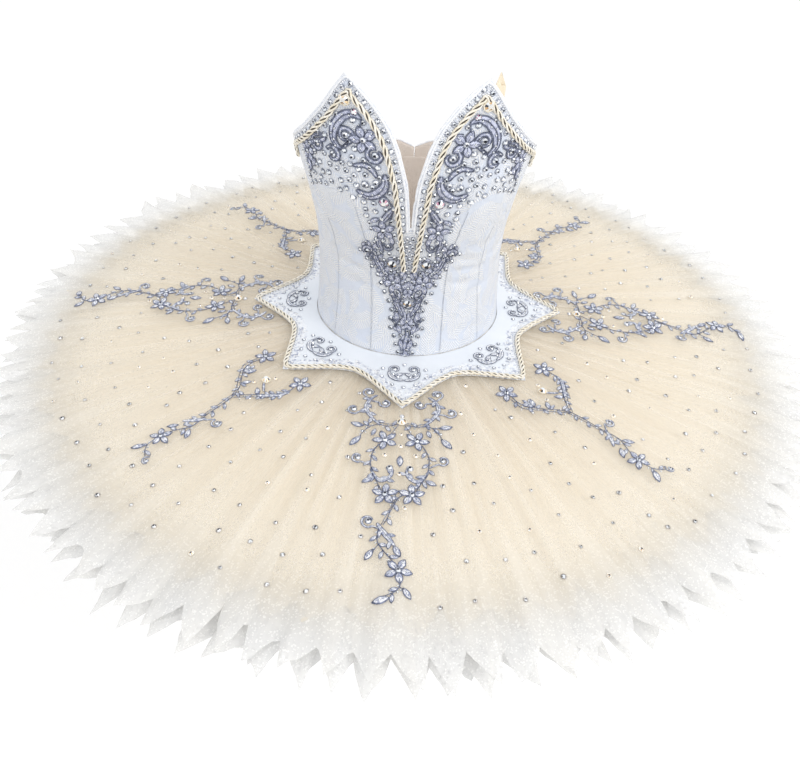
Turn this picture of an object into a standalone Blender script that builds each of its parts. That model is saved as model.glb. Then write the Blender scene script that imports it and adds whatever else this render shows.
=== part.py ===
"""Ballet tutu: a boned bodice with cups, a star-pointed plate, and rings of pointed net sewn to knickers.

Metres, +Z up. The origin is the centre of the waist, and the wearer would face -Y, so her left is +X.
Angles are in degrees round the body from centre front, and grow towards her left.
"""

from bisect import bisect
from collections import namedtuple
import math

import bmesh
import bpy
import numpy as np
from mathutils import Matrix, Vector

GAP = 0.0003                # between two pieces that are sewn together
NORMAL_STEP = 0.0001        # in a surface's own degrees, rows or metres, for reading its slope
HIP_Z = -0.100              # lower edge of the bodice, below the waist
BODICE_WALL = 0.0020        # brocade, coutil and bones
LINING_WALL = 0.0010
LINING_GAP = 0.0005         # slack between the brocade and the lining
LINING_SHOWS = 0.0015       # brocade that rolls over the lining's top
KNICKERS_WALL = 0.0015
PLATE_WALL = 0.0015
NET_WALL = 0.0010
BODY_REACH = 0.127          # mean radius of the bodice, which turns a distance round it into an angle
HIP_REACH = 0.118           # mean radius at the hip seam

Section = namedtuple("Section", "height half_width front back")
BODY = (
    Section(-0.100, 0.1215, 0.116, 0.112),
    Section(-0.060, 0.1180, 0.106, 0.100),
    Section(-0.020, 0.1162, 0.098, 0.090),
    Section(0.000, 0.1160, 0.097, 0.088),
    Section(0.040, 0.1185, 0.104, 0.088),
    Section(0.080, 0.1265, 0.114, 0.088),
    Section(0.120, 0.1355, 0.121, 0.088),
    Section(0.160, 0.1425, 0.123, 0.086),
    Section(0.200, 0.1475, 0.118, 0.084),
    Section(0.240, 0.1510, 0.112, 0.082),
)

CUP_ANGLE = 36.0            # centre of each cup
CUP_HEIGHT = 0.115
CUP_FULLNESS = 0.008        # how far the cups' darts push the cloth out
CUP_SPREAD = 22.0
CUP_TALL = 0.050

Seams = namedtuple("Seams", "height princess side_front side_back")
SEAMS = (
    Seams(-0.100, 20.5, 48.5, 97.0),
    Seams(0.000, 22.0, 47.0, 96.0),
    Seams(0.070, 25.0, 50.0, 96.0),
    Seams(0.120, 27.5, 53.0, 97.0),
    Seams(0.240, 28.6, 58.0, 97.0),
)
CENTRE_BACK = 179.86

Edge = namedtuple("Edge", "angle height")
TOP_EDGE = (                # from the foot of the V over a cup's peak and the underarm to centre back
    Edge(0.8, 0.070), Edge(1.5, 0.105), Edge(2.6, 0.130), Edge(6.2, 0.165), Edge(10.0, 0.187),
    Edge(15.5, 0.206), Edge(22.0, 0.222), Edge(28.5, 0.232), Edge(42.0, 0.195), Edge(55.0, 0.169),
    Edge(66.0, 0.154), Edge(78.0, 0.140), Edge(82.0, 0.120), Edge(87.0, 0.093), Edge(93.0, 0.070),
    Edge(101.0, 0.061), Edge(112.0, 0.062), Edge(127.0, 0.074), Edge(145.0, 0.090),
    Edge(163.0, 0.096), Edge(172.0, 0.091), Edge(180.0, 0.083),
)
LOW_ROWS = (HIP_Z, -0.066, -0.036, -0.010, 0.014, 0.042)    # heights shared by all the panels
HIGH_ROWS = 3               # more rows from there to the top edge
WIDEST_COLUMN = 11.0        # degrees between two columns of points
FEW_DEGREES = 1.0           # a corner of the edge this near a seam is left out of the panel

SKIRT_RADIUS = 0.522        # mean outline of the net
RIM_DROOP = 0.027
DROOP_POWER = 1.6
FIRST_RING = 0.340          # a ring of twice as many points as the seam, and half as many as the rim
SHORT_RING_SHARE = 0.72     # the same ring on a short layer, as a share of its reach
RIM_WANDER = 0.006          # how far the rim leaves a true circle
POINT_SHARE = 0.35          # of a net point that lies outside the mean rim
POINT_UNEVEN = 0.35         # how much the points differ in size
POINT_LEAN = 0.3            # how far a point leans to one side, as a share of the spacing
TOP_NET_Z = -0.1023         # where the top net meets the knickers

Layer = namedtuple("Layer", "name reach seam_drop rim_drop pleats pleat_height point turn colour")
LAYERS = (
    Layer("net_top", 0.524, 0.000, 0.000, 48, 0.0024, 0.030, 0.0, "net_glitter"),
    Layer("net_cream", 0.475, 0.010, 0.007, 32, 0.0020, 0.028, 1.7, "net_cream"),
    Layer("net_white_1", 0.526, 0.020, 0.014, 48, 0.0024, 0.034, 3.1, "net_white"),
    Layer("net_white_2", 0.508, 0.030, 0.022, 32, 0.0024, 0.032, 4.4, "net_white"),
    Layer("net_white_3", 0.445, 0.041, 0.046, 20, 0.0028, 0.030, 5.8, "net_white"),
    Layer("net_white_4", 0.345, 0.053, 0.082, 16, 0.0028, 0.026, 7.3, "net_white"),
)

PLATE_POINTS = 8
PLATE_TIP = 0.209
PLATE_VALLEY = 0.161
PLATE_POWER = 1.8           # how hollow the edge is between two points
PLATE_STEPS = (0.0, 0.13, 0.34, 0.64)    # shares of the way from a point to the valley after it
ROPE_RADIUS = 0.0023
ROPE_INSET = 0.0035
ROPE_CORNER = 1.6           # the rope cuts a sharp point short by this many insets

BRAID_RADIUS = 0.0019
BRAID_INSET = 0.0110        # from the top edge to the middle of the braid
BRAID_END = Edge(3.0, 0.012)

Brief = namedtuple("Brief", "height depth edge_height edge_width edge_depth")
KNICKERS_FRONT = (
    Brief(-0.1003, 0.116, -0.1003, 0.1215, 0.0), Brief(-0.136, 0.114, -0.136, 0.1238, 0.0),
    Brief(-0.171, 0.107, -0.171, 0.1232, 0.0), Brief(-0.205, 0.092, -0.201, 0.100, 0.050),
    Brief(-0.235, 0.068, -0.232, 0.060, 0.052), Brief(-0.258, 0.034, -0.257, 0.037, 0.031),
    Brief(-0.264, 0.0002, -0.263, 0.034, 0.0002),
)
KNICKERS_BACK = (
    Brief(-0.1003, 0.112, -0.1003, 0.1215, 0.0), Brief(-0.136, 0.118, -0.136, 0.1238, 0.0),
    Brief(-0.171, 0.119, -0.171, 0.1232, 0.0), Brief(-0.207, 0.108, -0.199, 0.112, 0.058),
    Brief(-0.238, 0.080, -0.231, 0.082, 0.062), Brief(-0.259, 0.038, -0.257, 0.048, 0.035),
    Brief(-0.264, 0.0002, -0.263, 0.034, 0.0002),
)
KNICKERS_COLUMNS = 7
HIP_CENTRE_Z = -0.150

STRAP_WIDTH = 0.012
STRAP_WALL = 0.0010
STRAP_INSET = 0.0035        # from the outer face to the middle of the strap where it is sewn on
STRAP = (                   # slack inside the bodice, from the cup to the back edge
    Edge(40.0, 0.175), Edge(46.0, 0.120), Edge(58.0, 0.060), Edge(74.0, 0.015), Edge(92.0, -0.008),
    Edge(110.0, -0.004), Edge(126.0, 0.020), Edge(140.0, 0.055), Edge(149.0, 0.082),
)
STRAP_FOLD = {"left": 0.231, "right": 0.196}     # top of the fold behind each cup's peak
STRAP_FOLD_ANGLE = 34.0
STRAP_SINK = 0.0013         # half the distance between the two sides of the fold
Turn = namedtuple("Turn", "drop beyond inward")
STRAP_TURN = (              # up from the sewn end, over the fold and down again
    Turn(0.030, 0.0, 0.0), Turn(0.006, 0.0, 0.0), Turn(0.0, 0.0, STRAP_SINK),
    Turn(0.006, 0.3, 2 * STRAP_SINK), Turn(0.024, 1.0, 2 * STRAP_SINK),
)

HOOKS = 8
HOOK_WIRE = 0.0006
HOOK_LENGTH = 0.011
HOOK_MARGIN = (0.018, 0.012)    # from the hip to the lowest, and from the top edge to the highest
HOOK_SHAPE = (              # round the wire's loop, across and up, in half lengths
    (-1.0, -0.36), (-1.0, 0.36), (0.0, 0.22), (1.0, 0.36), (1.0, -0.36), (0.0, -0.22),
)
PLACKET_HALF_ANGLE = 8.0
PLACKET_BELOW_EDGE = 0.012

COLOURS = {                 # red, green, blue, roughness, metallic
    "brocade": (0.78, 0.81, 0.87, 0.55, 0.0),
    "nude_lining": (0.72, 0.58, 0.48, 0.60, 0.0),
    "knickers_lycra": (0.86, 0.84, 0.80, 0.60, 0.0),
    "plate_satin": (0.86, 0.87, 0.90, 0.50, 0.0),
    "net_glitter": (0.88, 0.86, 0.82, 0.70, 0.0),
    "net_cream": (0.86, 0.76, 0.58, 0.75, 0.0),
    "net_white": (0.88, 0.88, 0.87, 0.75, 0.0),
    "gold_braid": (0.76, 0.64, 0.42, 0.45, 0.2),
    "silver_blue_cord": (0.33, 0.37, 0.55, 0.45, 0.3),
    "nude_elastic": (0.72, 0.58, 0.44, 0.65, 0.0),
    "hook_steel": (0.70, 0.70, 0.72, 0.30, 1.0),
}


# ---- the scene, materials and meshes --------------------------------------------------------------

def clear_scene():
    for found in list(bpy.data.objects):
        bpy.data.objects.remove(found, do_unlink=True)


def new_collection(name, hidden=False):
    made = bpy.data.collections.new(name)
    bpy.context.scene.collection.children.link(made)
    made.hide_render = hidden
    return made


def material(slot):
    found = bpy.data.materials.get(slot)
    if found:
        return found
    made = bpy.data.materials.new(slot)
    made.use_nodes = True
    red, green, blue, roughness, metallic = COLOURS[slot]
    shader = made.node_tree.nodes["Principled BSDF"]
    shader.inputs["Base Color"].default_value = (red, green, blue, 1.0)
    shader.inputs["Roughness"].default_value = roughness
    shader.inputs["Metallic"].default_value = metallic
    made.diffuse_color = (red, green, blue, 1.0)
    return made


def add_piece(name, mesh, slot):
    """A named object in the tutu's collection, shaded smooth but for its sharp edges."""
    mesh.materials.clear()
    mesh.materials.append(material(slot))
    mesh.shade_smooth()
    mesh.set_sharp_from_angle(angle=math.radians(45))
    piece = bpy.data.objects.new(name, mesh)
    TUTU.objects.link(piece)
    return piece


def mesh_of(name, bm):
    """The closed mesh of a bmesh, facing out."""
    bmesh.ops.recalc_face_normals(bm, faces=bm.faces)
    mesh = bpy.data.meshes.new(name)
    bm.to_mesh(mesh)
    bm.free()
    return mesh


# ---- reading the tables ---------------------------------------------------------------------------

def straight(rows, column, value):
    return float(np.interp(value, [row[0] for row in rows], [getattr(row, column) for row in rows]))


def smooth(rows, column, value):
    """A column of a table at any value of its first column, on a curve through the rows."""
    keys = [row[0] for row in rows]
    marks = [getattr(row, column) for row in rows]
    slopes = np.gradient(marks, keys)
    i = min(max(bisect(keys, value) - 1, 0), len(keys) - 2)
    span = keys[i + 1] - keys[i]
    t = min(max((value - keys[i]) / span, 0.0), 1.0)
    return float(
        (2 * t**3 - 3 * t**2 + 1) * marks[i]
        + (t**3 - 2 * t**2 + t) * span * slopes[i]
        + (3 * t**2 - 2 * t**3) * marks[i + 1]
        + (t**3 - t**2) * span * slopes[i + 1]
    )


# ---- walls between two surfaces -------------------------------------------------------------------

def moved_out(surface, u, v, distance):
    """A point of a surface round the body, moved along its normal, away from the body's middle."""
    along_u = surface(u + NORMAL_STEP, v) - surface(u - NORMAL_STEP, v)
    along_v = surface(u, v + NORMAL_STEP) - surface(u, v - NORMAL_STEP)
    point = surface(u, v)
    normal = along_u.cross(along_v).normalized()
    middle = Vector((0.0, 0.0, max(point.z, HIP_CENTRE_Z)))
    if normal.dot(point - middle) < 0:
        normal.negate()
    return point + normal * distance


def add_cell(bm, corners):
    """Two triangles, cut the same way on both faces of a wall so that they never cross."""
    a, b, c, d = corners
    bm.faces.new((a, b, c))
    bm.faces.new((a, c, d))


def wall_between(name, outer, inner):
    """One closed body between two grids of points, each a list of columns."""
    bm = bmesh.new()
    skins = [[[bm.verts.new(point) for point in column] for column in grid] for grid in (outer, inner)]
    columns, rows = len(outer), len(outer[0])
    for skin in skins:
        for i in range(columns - 1):
            for j in range(rows - 1):
                add_cell(bm, (skin[i][j], skin[i + 1][j], skin[i + 1][j + 1], skin[i][j + 1]))
    rim = [(i, 0) for i in range(columns)]
    rim += [(columns - 1, j) for j in range(1, rows)]
    rim += [(i, rows - 1) for i in range(columns - 2, -1, -1)]
    rim += [(0, j) for j in range(rows - 2, 0, -1)]
    for (i, j), (k, m) in zip(rim, rim[1:] + rim[:1]):
        add_cell(bm, (skins[0][i][j], skins[0][k][m], skins[1][k][m], skins[1][i][j]))
    return mesh_of(name, bm)


def stitch(bm, near, far):
    """Triangles between two rings, the far one with as many points as the near one or twice as many."""
    count, share = len(near), len(far) // len(near)
    for i in range(count):
        a, b = near[i], near[(i + 1) % count]
        c = [far[(i * share + k) % len(far)] for k in range(share + 1)]
        bm.faces.new((a, c[0], c[1]))
        bm.faces.new((a, c[1], b))
        if share == 2:
            bm.faces.new((b, c[1], c[2]))


def ring_wall(name, rings, thickness):
    """A closed wall round the body below the given rings of points, which run from the seam outwards."""
    bm = bmesh.new()
    drop = Vector((0.0, 0.0, thickness))
    skins = [[[bm.verts.new(point - drop * k) for point in ring] for ring in rings] for k in (0, 1)]
    for skin in skins:
        for near, far in zip(skin, skin[1:]):
            stitch(bm, near, far)
    for end in (0, -1):
        stitch(bm, skins[0][end], skins[1][end])
    return mesh_of(name, bm)


# ---- the bodice -----------------------------------------------------------------------------------

def body(angle, height):
    """The outer face of the bodice."""
    turn = math.radians(angle)
    depth = smooth(BODY, "front" if abs(angle) < 90 else "back", height)
    away = (abs(angle) - CUP_ANGLE) / CUP_SPREAD
    lift = (height - CUP_HEIGHT) / CUP_TALL
    cup = CUP_FULLNESS * math.exp(-away**2 - lift**2)
    width = smooth(BODY, "half_width", height)
    return Vector(((width + cup) * math.sin(turn), -(depth + cup) * math.cos(turn), height))


def body_round(angle, height):
    """The body at an angle that may pass centre back."""
    return body(angle - 360 if angle > 180 else angle, height)


def seam_angle(seam, height):
    """A seam's angle at a height. A seam is a column of SEAMS, or a fixed angle."""
    return smooth(SEAMS, seam, height) if isinstance(seam, str) else seam


def top_height(angle):
    return straight(TOP_EDGE, "height", abs(angle))


def angle_at_top(seam):
    """Where a seam meets the top edge."""
    angle = seam_angle(seam, 0.1)
    for _ in range(20):
        angle = seam_angle(seam, top_height(angle))
    return angle


def panel_columns(first, last):
    """Angles along a panel's top edge: its seams, the edge's own corners, and enough between them."""
    ends = (angle_at_top(first), angle_at_top(last))
    marks = sorted({*ends, *(row.angle for row in TOP_EDGE
                                  if ends[0] + FEW_DEGREES < row.angle < ends[1] - FEW_DEGREES)})
    found = [marks[0]]
    for mark in marks[1:]:
        count = math.ceil((mark - found[-1]) / WIDEST_COLUMN)
        found += list(np.linspace(found[-1], mark, count + 1)[1:])
    return found


def row_heights(top):
    return [*LOW_ROWS, *(float(z) for z in np.linspace(LOW_ROWS[-1], top, HIGH_ROWS + 1)[1:])]


def body_column(angles, heights, depth):
    """Points up the body, the lowest exactly at the hip."""
    column = [moved_out(body_round, angle, height, depth) for angle, height in zip(angles, heights)]
    column[0].z = HIP_Z
    return column


def panel_wall(name, first, last, side, outset, wall, below_edge=0.0):
    """A panel of cloth between two seams. side is 1 for the wearer's left and -1 for her right."""
    grids = ([], [])
    half_gap = math.degrees(GAP / 2 / BODY_REACH)
    for top_angle in panel_columns(first, last):
        top = top_height(top_angle)
        seams = [seam_angle(seam, top) for seam in (first, last)]
        share = (top_angle - seams[0]) / (seams[1] - seams[0])
        heights = row_heights(top - below_edge)
        angles = []
        for height in heights:
            low, high = (seam_angle(seam, height) for seam in (first, last))
            angles.append(side * (low + half_gap + share * (high - low - 2 * half_gap)))
        for grid, depth in zip(grids, (outset, outset - wall)):
            grid.append(body_column(angles, heights, depth))
    return wall_between(name, *grids)


def centre_front_wall(name):
    """The centre front, one piece from princess seam to princess seam, with the V cut in its top."""
    grids = ([], [])
    half_gap = math.degrees(GAP / 2 / BODY_REACH)
    end = angle_at_top("princess")
    half = [row.angle for row in TOP_EDGE if row.angle < end - FEW_DEGREES] + [end]
    for top_angle in [-angle for angle in reversed(half)] + half:
        top = top_height(top_angle)
        share = top_angle / seam_angle("princess", top)
        heights = row_heights(top)
        angles = [share * (seam_angle("princess", height) - half_gap) for height in heights]
        for grid, depth in zip(grids, (0.0, -BODICE_WALL)):
            grid.append(body_column(angles, heights, depth))
    return wall_between(name, *grids)


def add_bodice():
    add_piece("centre_front", centre_front_wall("centre_front"), "brocade")
    panels = (("side_front", "princess", "side_front"), ("side", "side_front", "side_back"),
              ("back", "side_back", CENTRE_BACK))
    for hand, side in (("left", 1), ("right", -1)):
        for panel, first, last in panels:
            name = f"{panel}_{hand}"
            add_piece(name, panel_wall(name, first, last, side, 0.0, BODICE_WALL), "brocade")
        name = f"back_lining_{hand}"
        inset = -BODICE_WALL - LINING_GAP
        lining = panel_wall(name, "side_back", CENTRE_BACK, side, inset, LINING_WALL, LINING_SHOWS)
        add_piece(name, lining, "nude_lining")


def add_placket():
    """The underlap behind the centre-back opening, which the hooks close over."""
    grids = ([], [])
    inset = -BODICE_WALL - LINING_GAP - LINING_WALL - LINING_GAP
    heights = row_heights(top_height(180.0) - PLACKET_BELOW_EDGE)
    for angle in (180 - PLACKET_HALF_ANGLE, 180.0, 180 + PLACKET_HALF_ANGLE):
        for grid, depth in zip(grids, (inset, inset - LINING_WALL)):
            grid.append(body_column([angle] * len(heights), heights, depth))
    add_piece("back_placket", wall_between("back_placket", *grids), "nude_lining")


# ---- cords: curves made into closed meshes --------------------------------------------------------

def cord_mesh(name, points, radius, sides=6, closed=False):
    """A cord along the points. sides is 4, 6 or 8."""
    curve = bpy.data.curves.new(name, "CURVE")
    curve.dimensions = "3D"
    curve.bevel_depth = radius
    curve.bevel_resolution = (sides - 4) // 2
    curve.use_fill_caps = not closed
    spline = curve.splines.new("POLY")
    spline.points.add(len(points) - 1)
    for spot, point in zip(spline.points, points):
        spot.co = (*point, 1.0)
    spline.use_cyclic_u = closed
    holder = bpy.data.objects.new(name + "_path", curve)
    bpy.context.scene.collection.objects.link(holder)
    bpy.context.view_layer.update()
    mesh = bpy.data.meshes.new_from_object(holder.evaluated_get(bpy.context.evaluated_depsgraph_get()))
    bpy.data.objects.remove(holder, do_unlink=True)
    bm = bmesh.new()
    bm.from_mesh(mesh)
    bmesh.ops.remove_doubles(bm, verts=bm.verts, dist=1e-6)
    bpy.data.meshes.remove(mesh)
    return mesh_of(name, bm)


def corner_inset(points, distance):
    """A path in a plane moved to its left by a distance, its corners kept sharp."""
    moved = []
    for i, point in enumerate(points):
        before = (point - points[i - 1]).normalized() if i else None
        after = (points[i + 1] - point).normalized() if i < len(points) - 1 else None
        before, after = before or after, after or before
        mean = (before + after).normalized()
        stretch = max(mean.dot(after), 0.5)
        moved.append(point + Vector((-mean.y, mean.x)) * distance / stretch)
    return moved


def add_braids():
    """The gold braid that follows the top edge from the underarm over the cup's peak and down the V."""
    edge = [row for row in TOP_EDGE if row.angle <= 88.0]
    flat = [Vector((math.radians(row.angle) * BODY_REACH, row.height)) for row in edge]
    path = corner_inset(flat, -BRAID_INSET)
    path = [Vector((math.radians(BRAID_END.angle) * BODY_REACH, BRAID_END.height))] + path[1:]
    for hand, side in (("left", 1), ("right", -1)):
        points = []
        for here, after in zip(path, path[1:] + path[-1:]):
            for share in (0.0, 0.5):
                spot = here.lerp(after, share)
                angle = side * math.degrees(spot.x / BODY_REACH)
                points.append(moved_out(body, angle, spot.y, BRAID_RADIUS + 2 * GAP))
        name = f"neck_braid_{hand}"
        add_piece(name, cord_mesh(name, points[:-1], BRAID_RADIUS), "gold_braid")


# ---- knickers -------------------------------------------------------------------------------------

def brief_surface(rows, front):
    """A function of the share from the middle to the edge, and of the row."""
    def point(share, row):
        whole = min(int(row), len(rows) - 2) if row > 0 else 0
        low, high = rows[whole], rows[whole + 1]
        part = row - whole
        height, depth, edge_height, width, edge_depth = (a + (b - a) * part for a, b in zip(low, high))
        turn = share * math.pi / 2
        y = edge_depth + (depth - edge_depth) * math.cos(turn)
        z = height + (edge_height - height) * share**2
        return Vector((width * math.sin(turn), -y if front else y, z))
    return point


def add_knickers():
    for name, rows, front in (("knickers_front", KNICKERS_FRONT, True), ("knickers_back", KNICKERS_BACK, False)):
        surface = brief_surface(rows, front)
        grids = ([], [])
        for share in np.linspace(-1.0, 1.0, 2 * KNICKERS_COLUMNS - 1):
            for grid, depth in zip(grids, (0.0, -KNICKERS_WALL)):
                column = []
                for row in range(len(rows)):
                    point = moved_out(surface, float(share), float(row), depth)
                    point.y += (-GAP if front else GAP) / 2
                    column.append(point)
                column[0].z = HIP_Z - GAP
                grid.append(column)
        add_piece(name, wall_between(name, *grids), "knickers_lycra")


def hip_radius(angle, height):
    """How far the knickers reach from the axis at an angle, down to the top of the leg openings."""
    rows = KNICKERS_FRONT if abs(angle) < 90 else KNICKERS_BACK
    keys = [-row.height for row in rows[:3]]
    depth = np.interp(-height, keys, [row.depth for row in rows[:3]])
    width = np.interp(-height, keys, [row.edge_width for row in rows[:3]])
    turn = math.radians(angle)
    return 1.0 / math.hypot(math.sin(turn) / width, math.cos(turn) / depth)


# ---- the net --------------------------------------------------------------------------------------

def skirt_share(radius):
    """0 at the knickers and 1 at the skirt's mean outline."""
    return max((radius - HIP_REACH) / (SKIRT_RADIUS - HIP_REACH), 0.0)


def net_height(layer, radius):
    """Mean height of a layer's upper face."""
    share = skirt_share(radius)
    drop = layer.seam_drop + (layer.rim_drop - layer.seam_drop) * share
    return TOP_NET_Z - RIM_DROOP * share**DROOP_POWER - drop


def polar(angle, radius, height):
    turn = math.radians(angle)
    return Vector((radius * math.sin(turn), -radius * math.cos(turn), height))


def uneven(angle, turn):
    """A slow change round the skirt, from -1 to 1, that differs from layer to layer."""
    a = math.radians(angle)
    return 0.5 * math.sin(5 * a + turn) + 0.3 * math.sin(11 * a + 2.3 * turn) + 0.2 * math.sin(23 * a + turn)


def seam_ring(layer, count):
    ring = []
    for i in range(count):
        angle = 360.0 * i / count
        signed = angle - 360 if angle > 180 else angle
        height = TOP_NET_Z - layer.seam_drop
        radius = hip_radius(signed, height - NET_WALL) / math.cos(math.pi / count) + 2 * GAP
        ring.append(polar(angle, radius, height))
    return ring


def middle_ring(layer, count):
    """One point on each crest and one in each trough."""
    ring = []
    radius = min(FIRST_RING, layer.reach * SHORT_RING_SHARE)
    for i in range(count):
        wave = layer.pleat_height * skirt_share(radius) * (1 if i % 2 == 0 else -1)
        ring.append(polar(360.0 * i / count, radius, net_height(layer, radius) + wave))
    return ring


def rim_ring(layer, count):
    """Points and notches by turns, with a pleat for every two points."""
    ring = []
    spacing = 360.0 / count
    for i in range(count):
        angle = spacing * i
        sway = uneven(3 * angle, layer.turn)
        tip = i % 2 == 1
        size = layer.point * (1.0 + POINT_UNEVEN * sway)
        radius = layer.reach + RIM_WANDER * uneven(angle, layer.turn)
        radius += size * (POINT_SHARE if tip else POINT_SHARE - 1.0)
        wave = layer.pleat_height * (1, 0, -1, 0)[i % 4]
        height = net_height(layer, layer.reach) + wave
        lean = POINT_LEAN * spacing * sway if tip else 0.0
        ring.append(polar(angle + lean, radius, height))
    return ring


def add_net():
    for layer in LAYERS:
        rim = layer.pleats * 4
        rings = [seam_ring(layer, rim // 4), middle_ring(layer, rim // 2), rim_ring(layer, rim)]
        add_piece(layer.name, ring_wall(layer.name, rings, NET_WALL), layer.colour)


def on_net(angle, radius, lift=0.0):
    """A point just above the crests of the top net."""
    top = LAYERS[0]
    share = skirt_share(radius)
    height = net_height(top, radius)
    if radius < FIRST_RING:
        near = net_height(top, HIP_REACH)
        far = net_height(top, FIRST_RING)
        height = near + (far - near) * (radius - HIP_REACH) / (FIRST_RING - HIP_REACH)
    return polar(angle, radius, height + top.pleat_height * share + GAP + lift)


# ---- the plate and its rope -----------------------------------------------------------------------

def plate_radius(angle):
    """The plate's outline: a point every 45 degrees, with a hollow edge between."""
    half = 180.0 / PLATE_POINTS
    away = abs((angle + half) % (2 * half) - half) / half
    return PLATE_VALLEY + (PLATE_TIP - PLATE_VALLEY) * (1 - away) ** PLATE_POWER


def plate_angles():
    half = 180.0 / PLATE_POINTS
    found = []
    for point in range(PLATE_POINTS):
        centre = 2 * half * point
        found += [centre + half * share for share in PLATE_STEPS]
        found += [centre + half] + [centre + 2 * half - half * share for share in reversed(PLATE_STEPS[1:])]
    return found


def add_plate():
    rings = ([], [])
    for angle in plate_angles():
        signed = angle - 360 if angle > 180 else angle
        inner = hip_radius(signed, HIP_Z) + 2 * GAP
        rings[0].append(on_net(angle, inner, PLATE_WALL))
        rings[1].append(on_net(angle, plate_radius(angle), PLATE_WALL))
    add_piece("plate", ring_wall("plate", rings, PLATE_WALL), "plate_satin")


def add_rope():
    """The twisted rope sewn round the plate just inside its edge."""
    lift = PLATE_WALL + GAP + ROPE_RADIUS
    points = []
    for angle in plate_angles():
        sharp = ROPE_CORNER if angle % (360.0 / PLATE_POINTS) == 0 else 1.0
        points.append(on_net(angle, plate_radius(angle) - sharp * ROPE_INSET, lift))
    add_piece("plate_rope", cord_mesh("plate_rope", points, ROPE_RADIUS, closed=True), "gold_braid")


# ---- applique: flat motifs joined into one body, then laid on the cloth ---------------------------

Motif = namedtuple("Motif", "kind along side size turn")
# On the skirt, along is the distance from the body's axis down the middle of a spray, and side is across it.
# On the bodice, along is the height above the waist and side is the way round from centre front.
# size is a flower's or gem's radius, a leaf's length, or the radius of a curl's arc. turn is in degrees.
LARGE_SPRAY = (
    Motif("gem", 0.236, 0.0, 0.0055, 0),
    Motif("flower", 0.213, 0.056, 0.0105, 20), Motif("flower", 0.213, -0.056, 0.0105, 50),
    Motif("flower", 0.262, 0.026, 0.0105, 0), Motif("flower", 0.262, -0.026, 0.0105, 30),
    Motif("flower", 0.322, 0.006, 0.0125, 10), Motif("flower", 0.346, -0.007, 0.0110, 40),
    Motif("flower", 0.412, 0.002, 0.0100, 0), Motif("leaf", 0.448, -0.004, 0.026, 15),
)
LARGE_STEMS = (
    ((0.236, 0.0), (0.290, 0.002), (0.345, -0.005), (0.400, 0.002), (0.445, -0.003)),
    ((0.292, 0.0), (0.270, 0.024), (0.240, 0.036), (0.213, 0.056)),
    ((0.292, 0.0), (0.270, -0.024), (0.240, -0.036), (0.213, -0.056)),
)
SMALL_SPRAY = (
    Motif("gem", 0.236, 0.0, 0.0050, 0),
    Motif("flower", 0.208, 0.036, 0.0105, 0), Motif("flower", 0.208, -0.036, 0.0105, 30),
    Motif("flower", 0.276, 0.0, 0.0105, 20), Motif("flower", 0.326, -0.004, 0.0095, 0),
    Motif("flower", 0.372, 0.002, 0.0100, 15), Motif("leaf", 0.400, 0.002, 0.024, 25),
)
SMALL_STEMS = (
    ((0.236, 0.0), (0.278, 0.0), (0.330, -0.004), (0.398, 0.002)),
    ((0.276, 0.0), (0.250, 0.019), (0.208, 0.036)), ((0.276, 0.0), (0.250, -0.019), (0.208, -0.036)),
)
CUP_MOTIFS = (
    Motif("curl", 0.166, 0.080, 0.016, 100), Motif("curl", 0.124, 0.050, 0.014, 190),
    Motif("flower", 0.164, 0.042, 0.0125, 10), Motif("gem", 0.190, 0.065, 0.0060, 0),
    Motif("gem", 0.100, 0.034, 0.0065, 0), Motif("flower", 0.076, 0.029, 0.0120, 30),
    Motif("flower", 0.126, 0.120, 0.0105, 0),
)
CUP_STEMS = (
    ((0.122, 0.121), (0.150, 0.108), (0.176, 0.084), (0.190, 0.065), (0.168, 0.045), (0.136, 0.037),
     (0.100, 0.034), (0.076, 0.029), (0.048, 0.031)),
)
FRONT_MOTIFS = (
    Motif("gem", 0.030, 0.024, 0.0060, 0), Motif("gem", 0.030, -0.024, 0.0060, 0),
    Motif("flower", 0.004, 0.022, 0.0110, 20), Motif("flower", 0.004, -0.022, 0.0110, 40),
    Motif("curl", -0.030, 0.015, 0.012, 120), Motif("curl", -0.030, -0.015, 0.012, -120),
    Motif("gem", -0.034, 0.0, 0.0065, 0), Motif("flower", -0.062, 0.0, 0.0105, 0),
    Motif("leaf", -0.088, 0.0, 0.024, 180),
)
FRONT_STEMS = (
    ((0.034, 0.028), (0.004, 0.022), (-0.020, 0.0), (-0.090, 0.0)),
    ((0.034, -0.028), (0.004, -0.022), (-0.021, -0.0005)),
)

CORD_HALF_WIDTH = 0.0017
CURL_SWEEP = 250.0
CURL_POINTS = 6
CURL_END = 0.45             # the arc's radius at the end of the curl, against its start
APPLIQUE_HEIGHT = 0.0020
GEM_HEIGHT = 0.0050
LONGEST_RUN = {"body": 0.016, "net": 0.030}     # of a stem, between two points laid on the cloth


def ribbon_outline(path, half_width):
    """Both sides of a flat strip along a path."""
    return corner_inset(path, half_width) + list(reversed(corner_inset(path, -half_width)))


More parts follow.
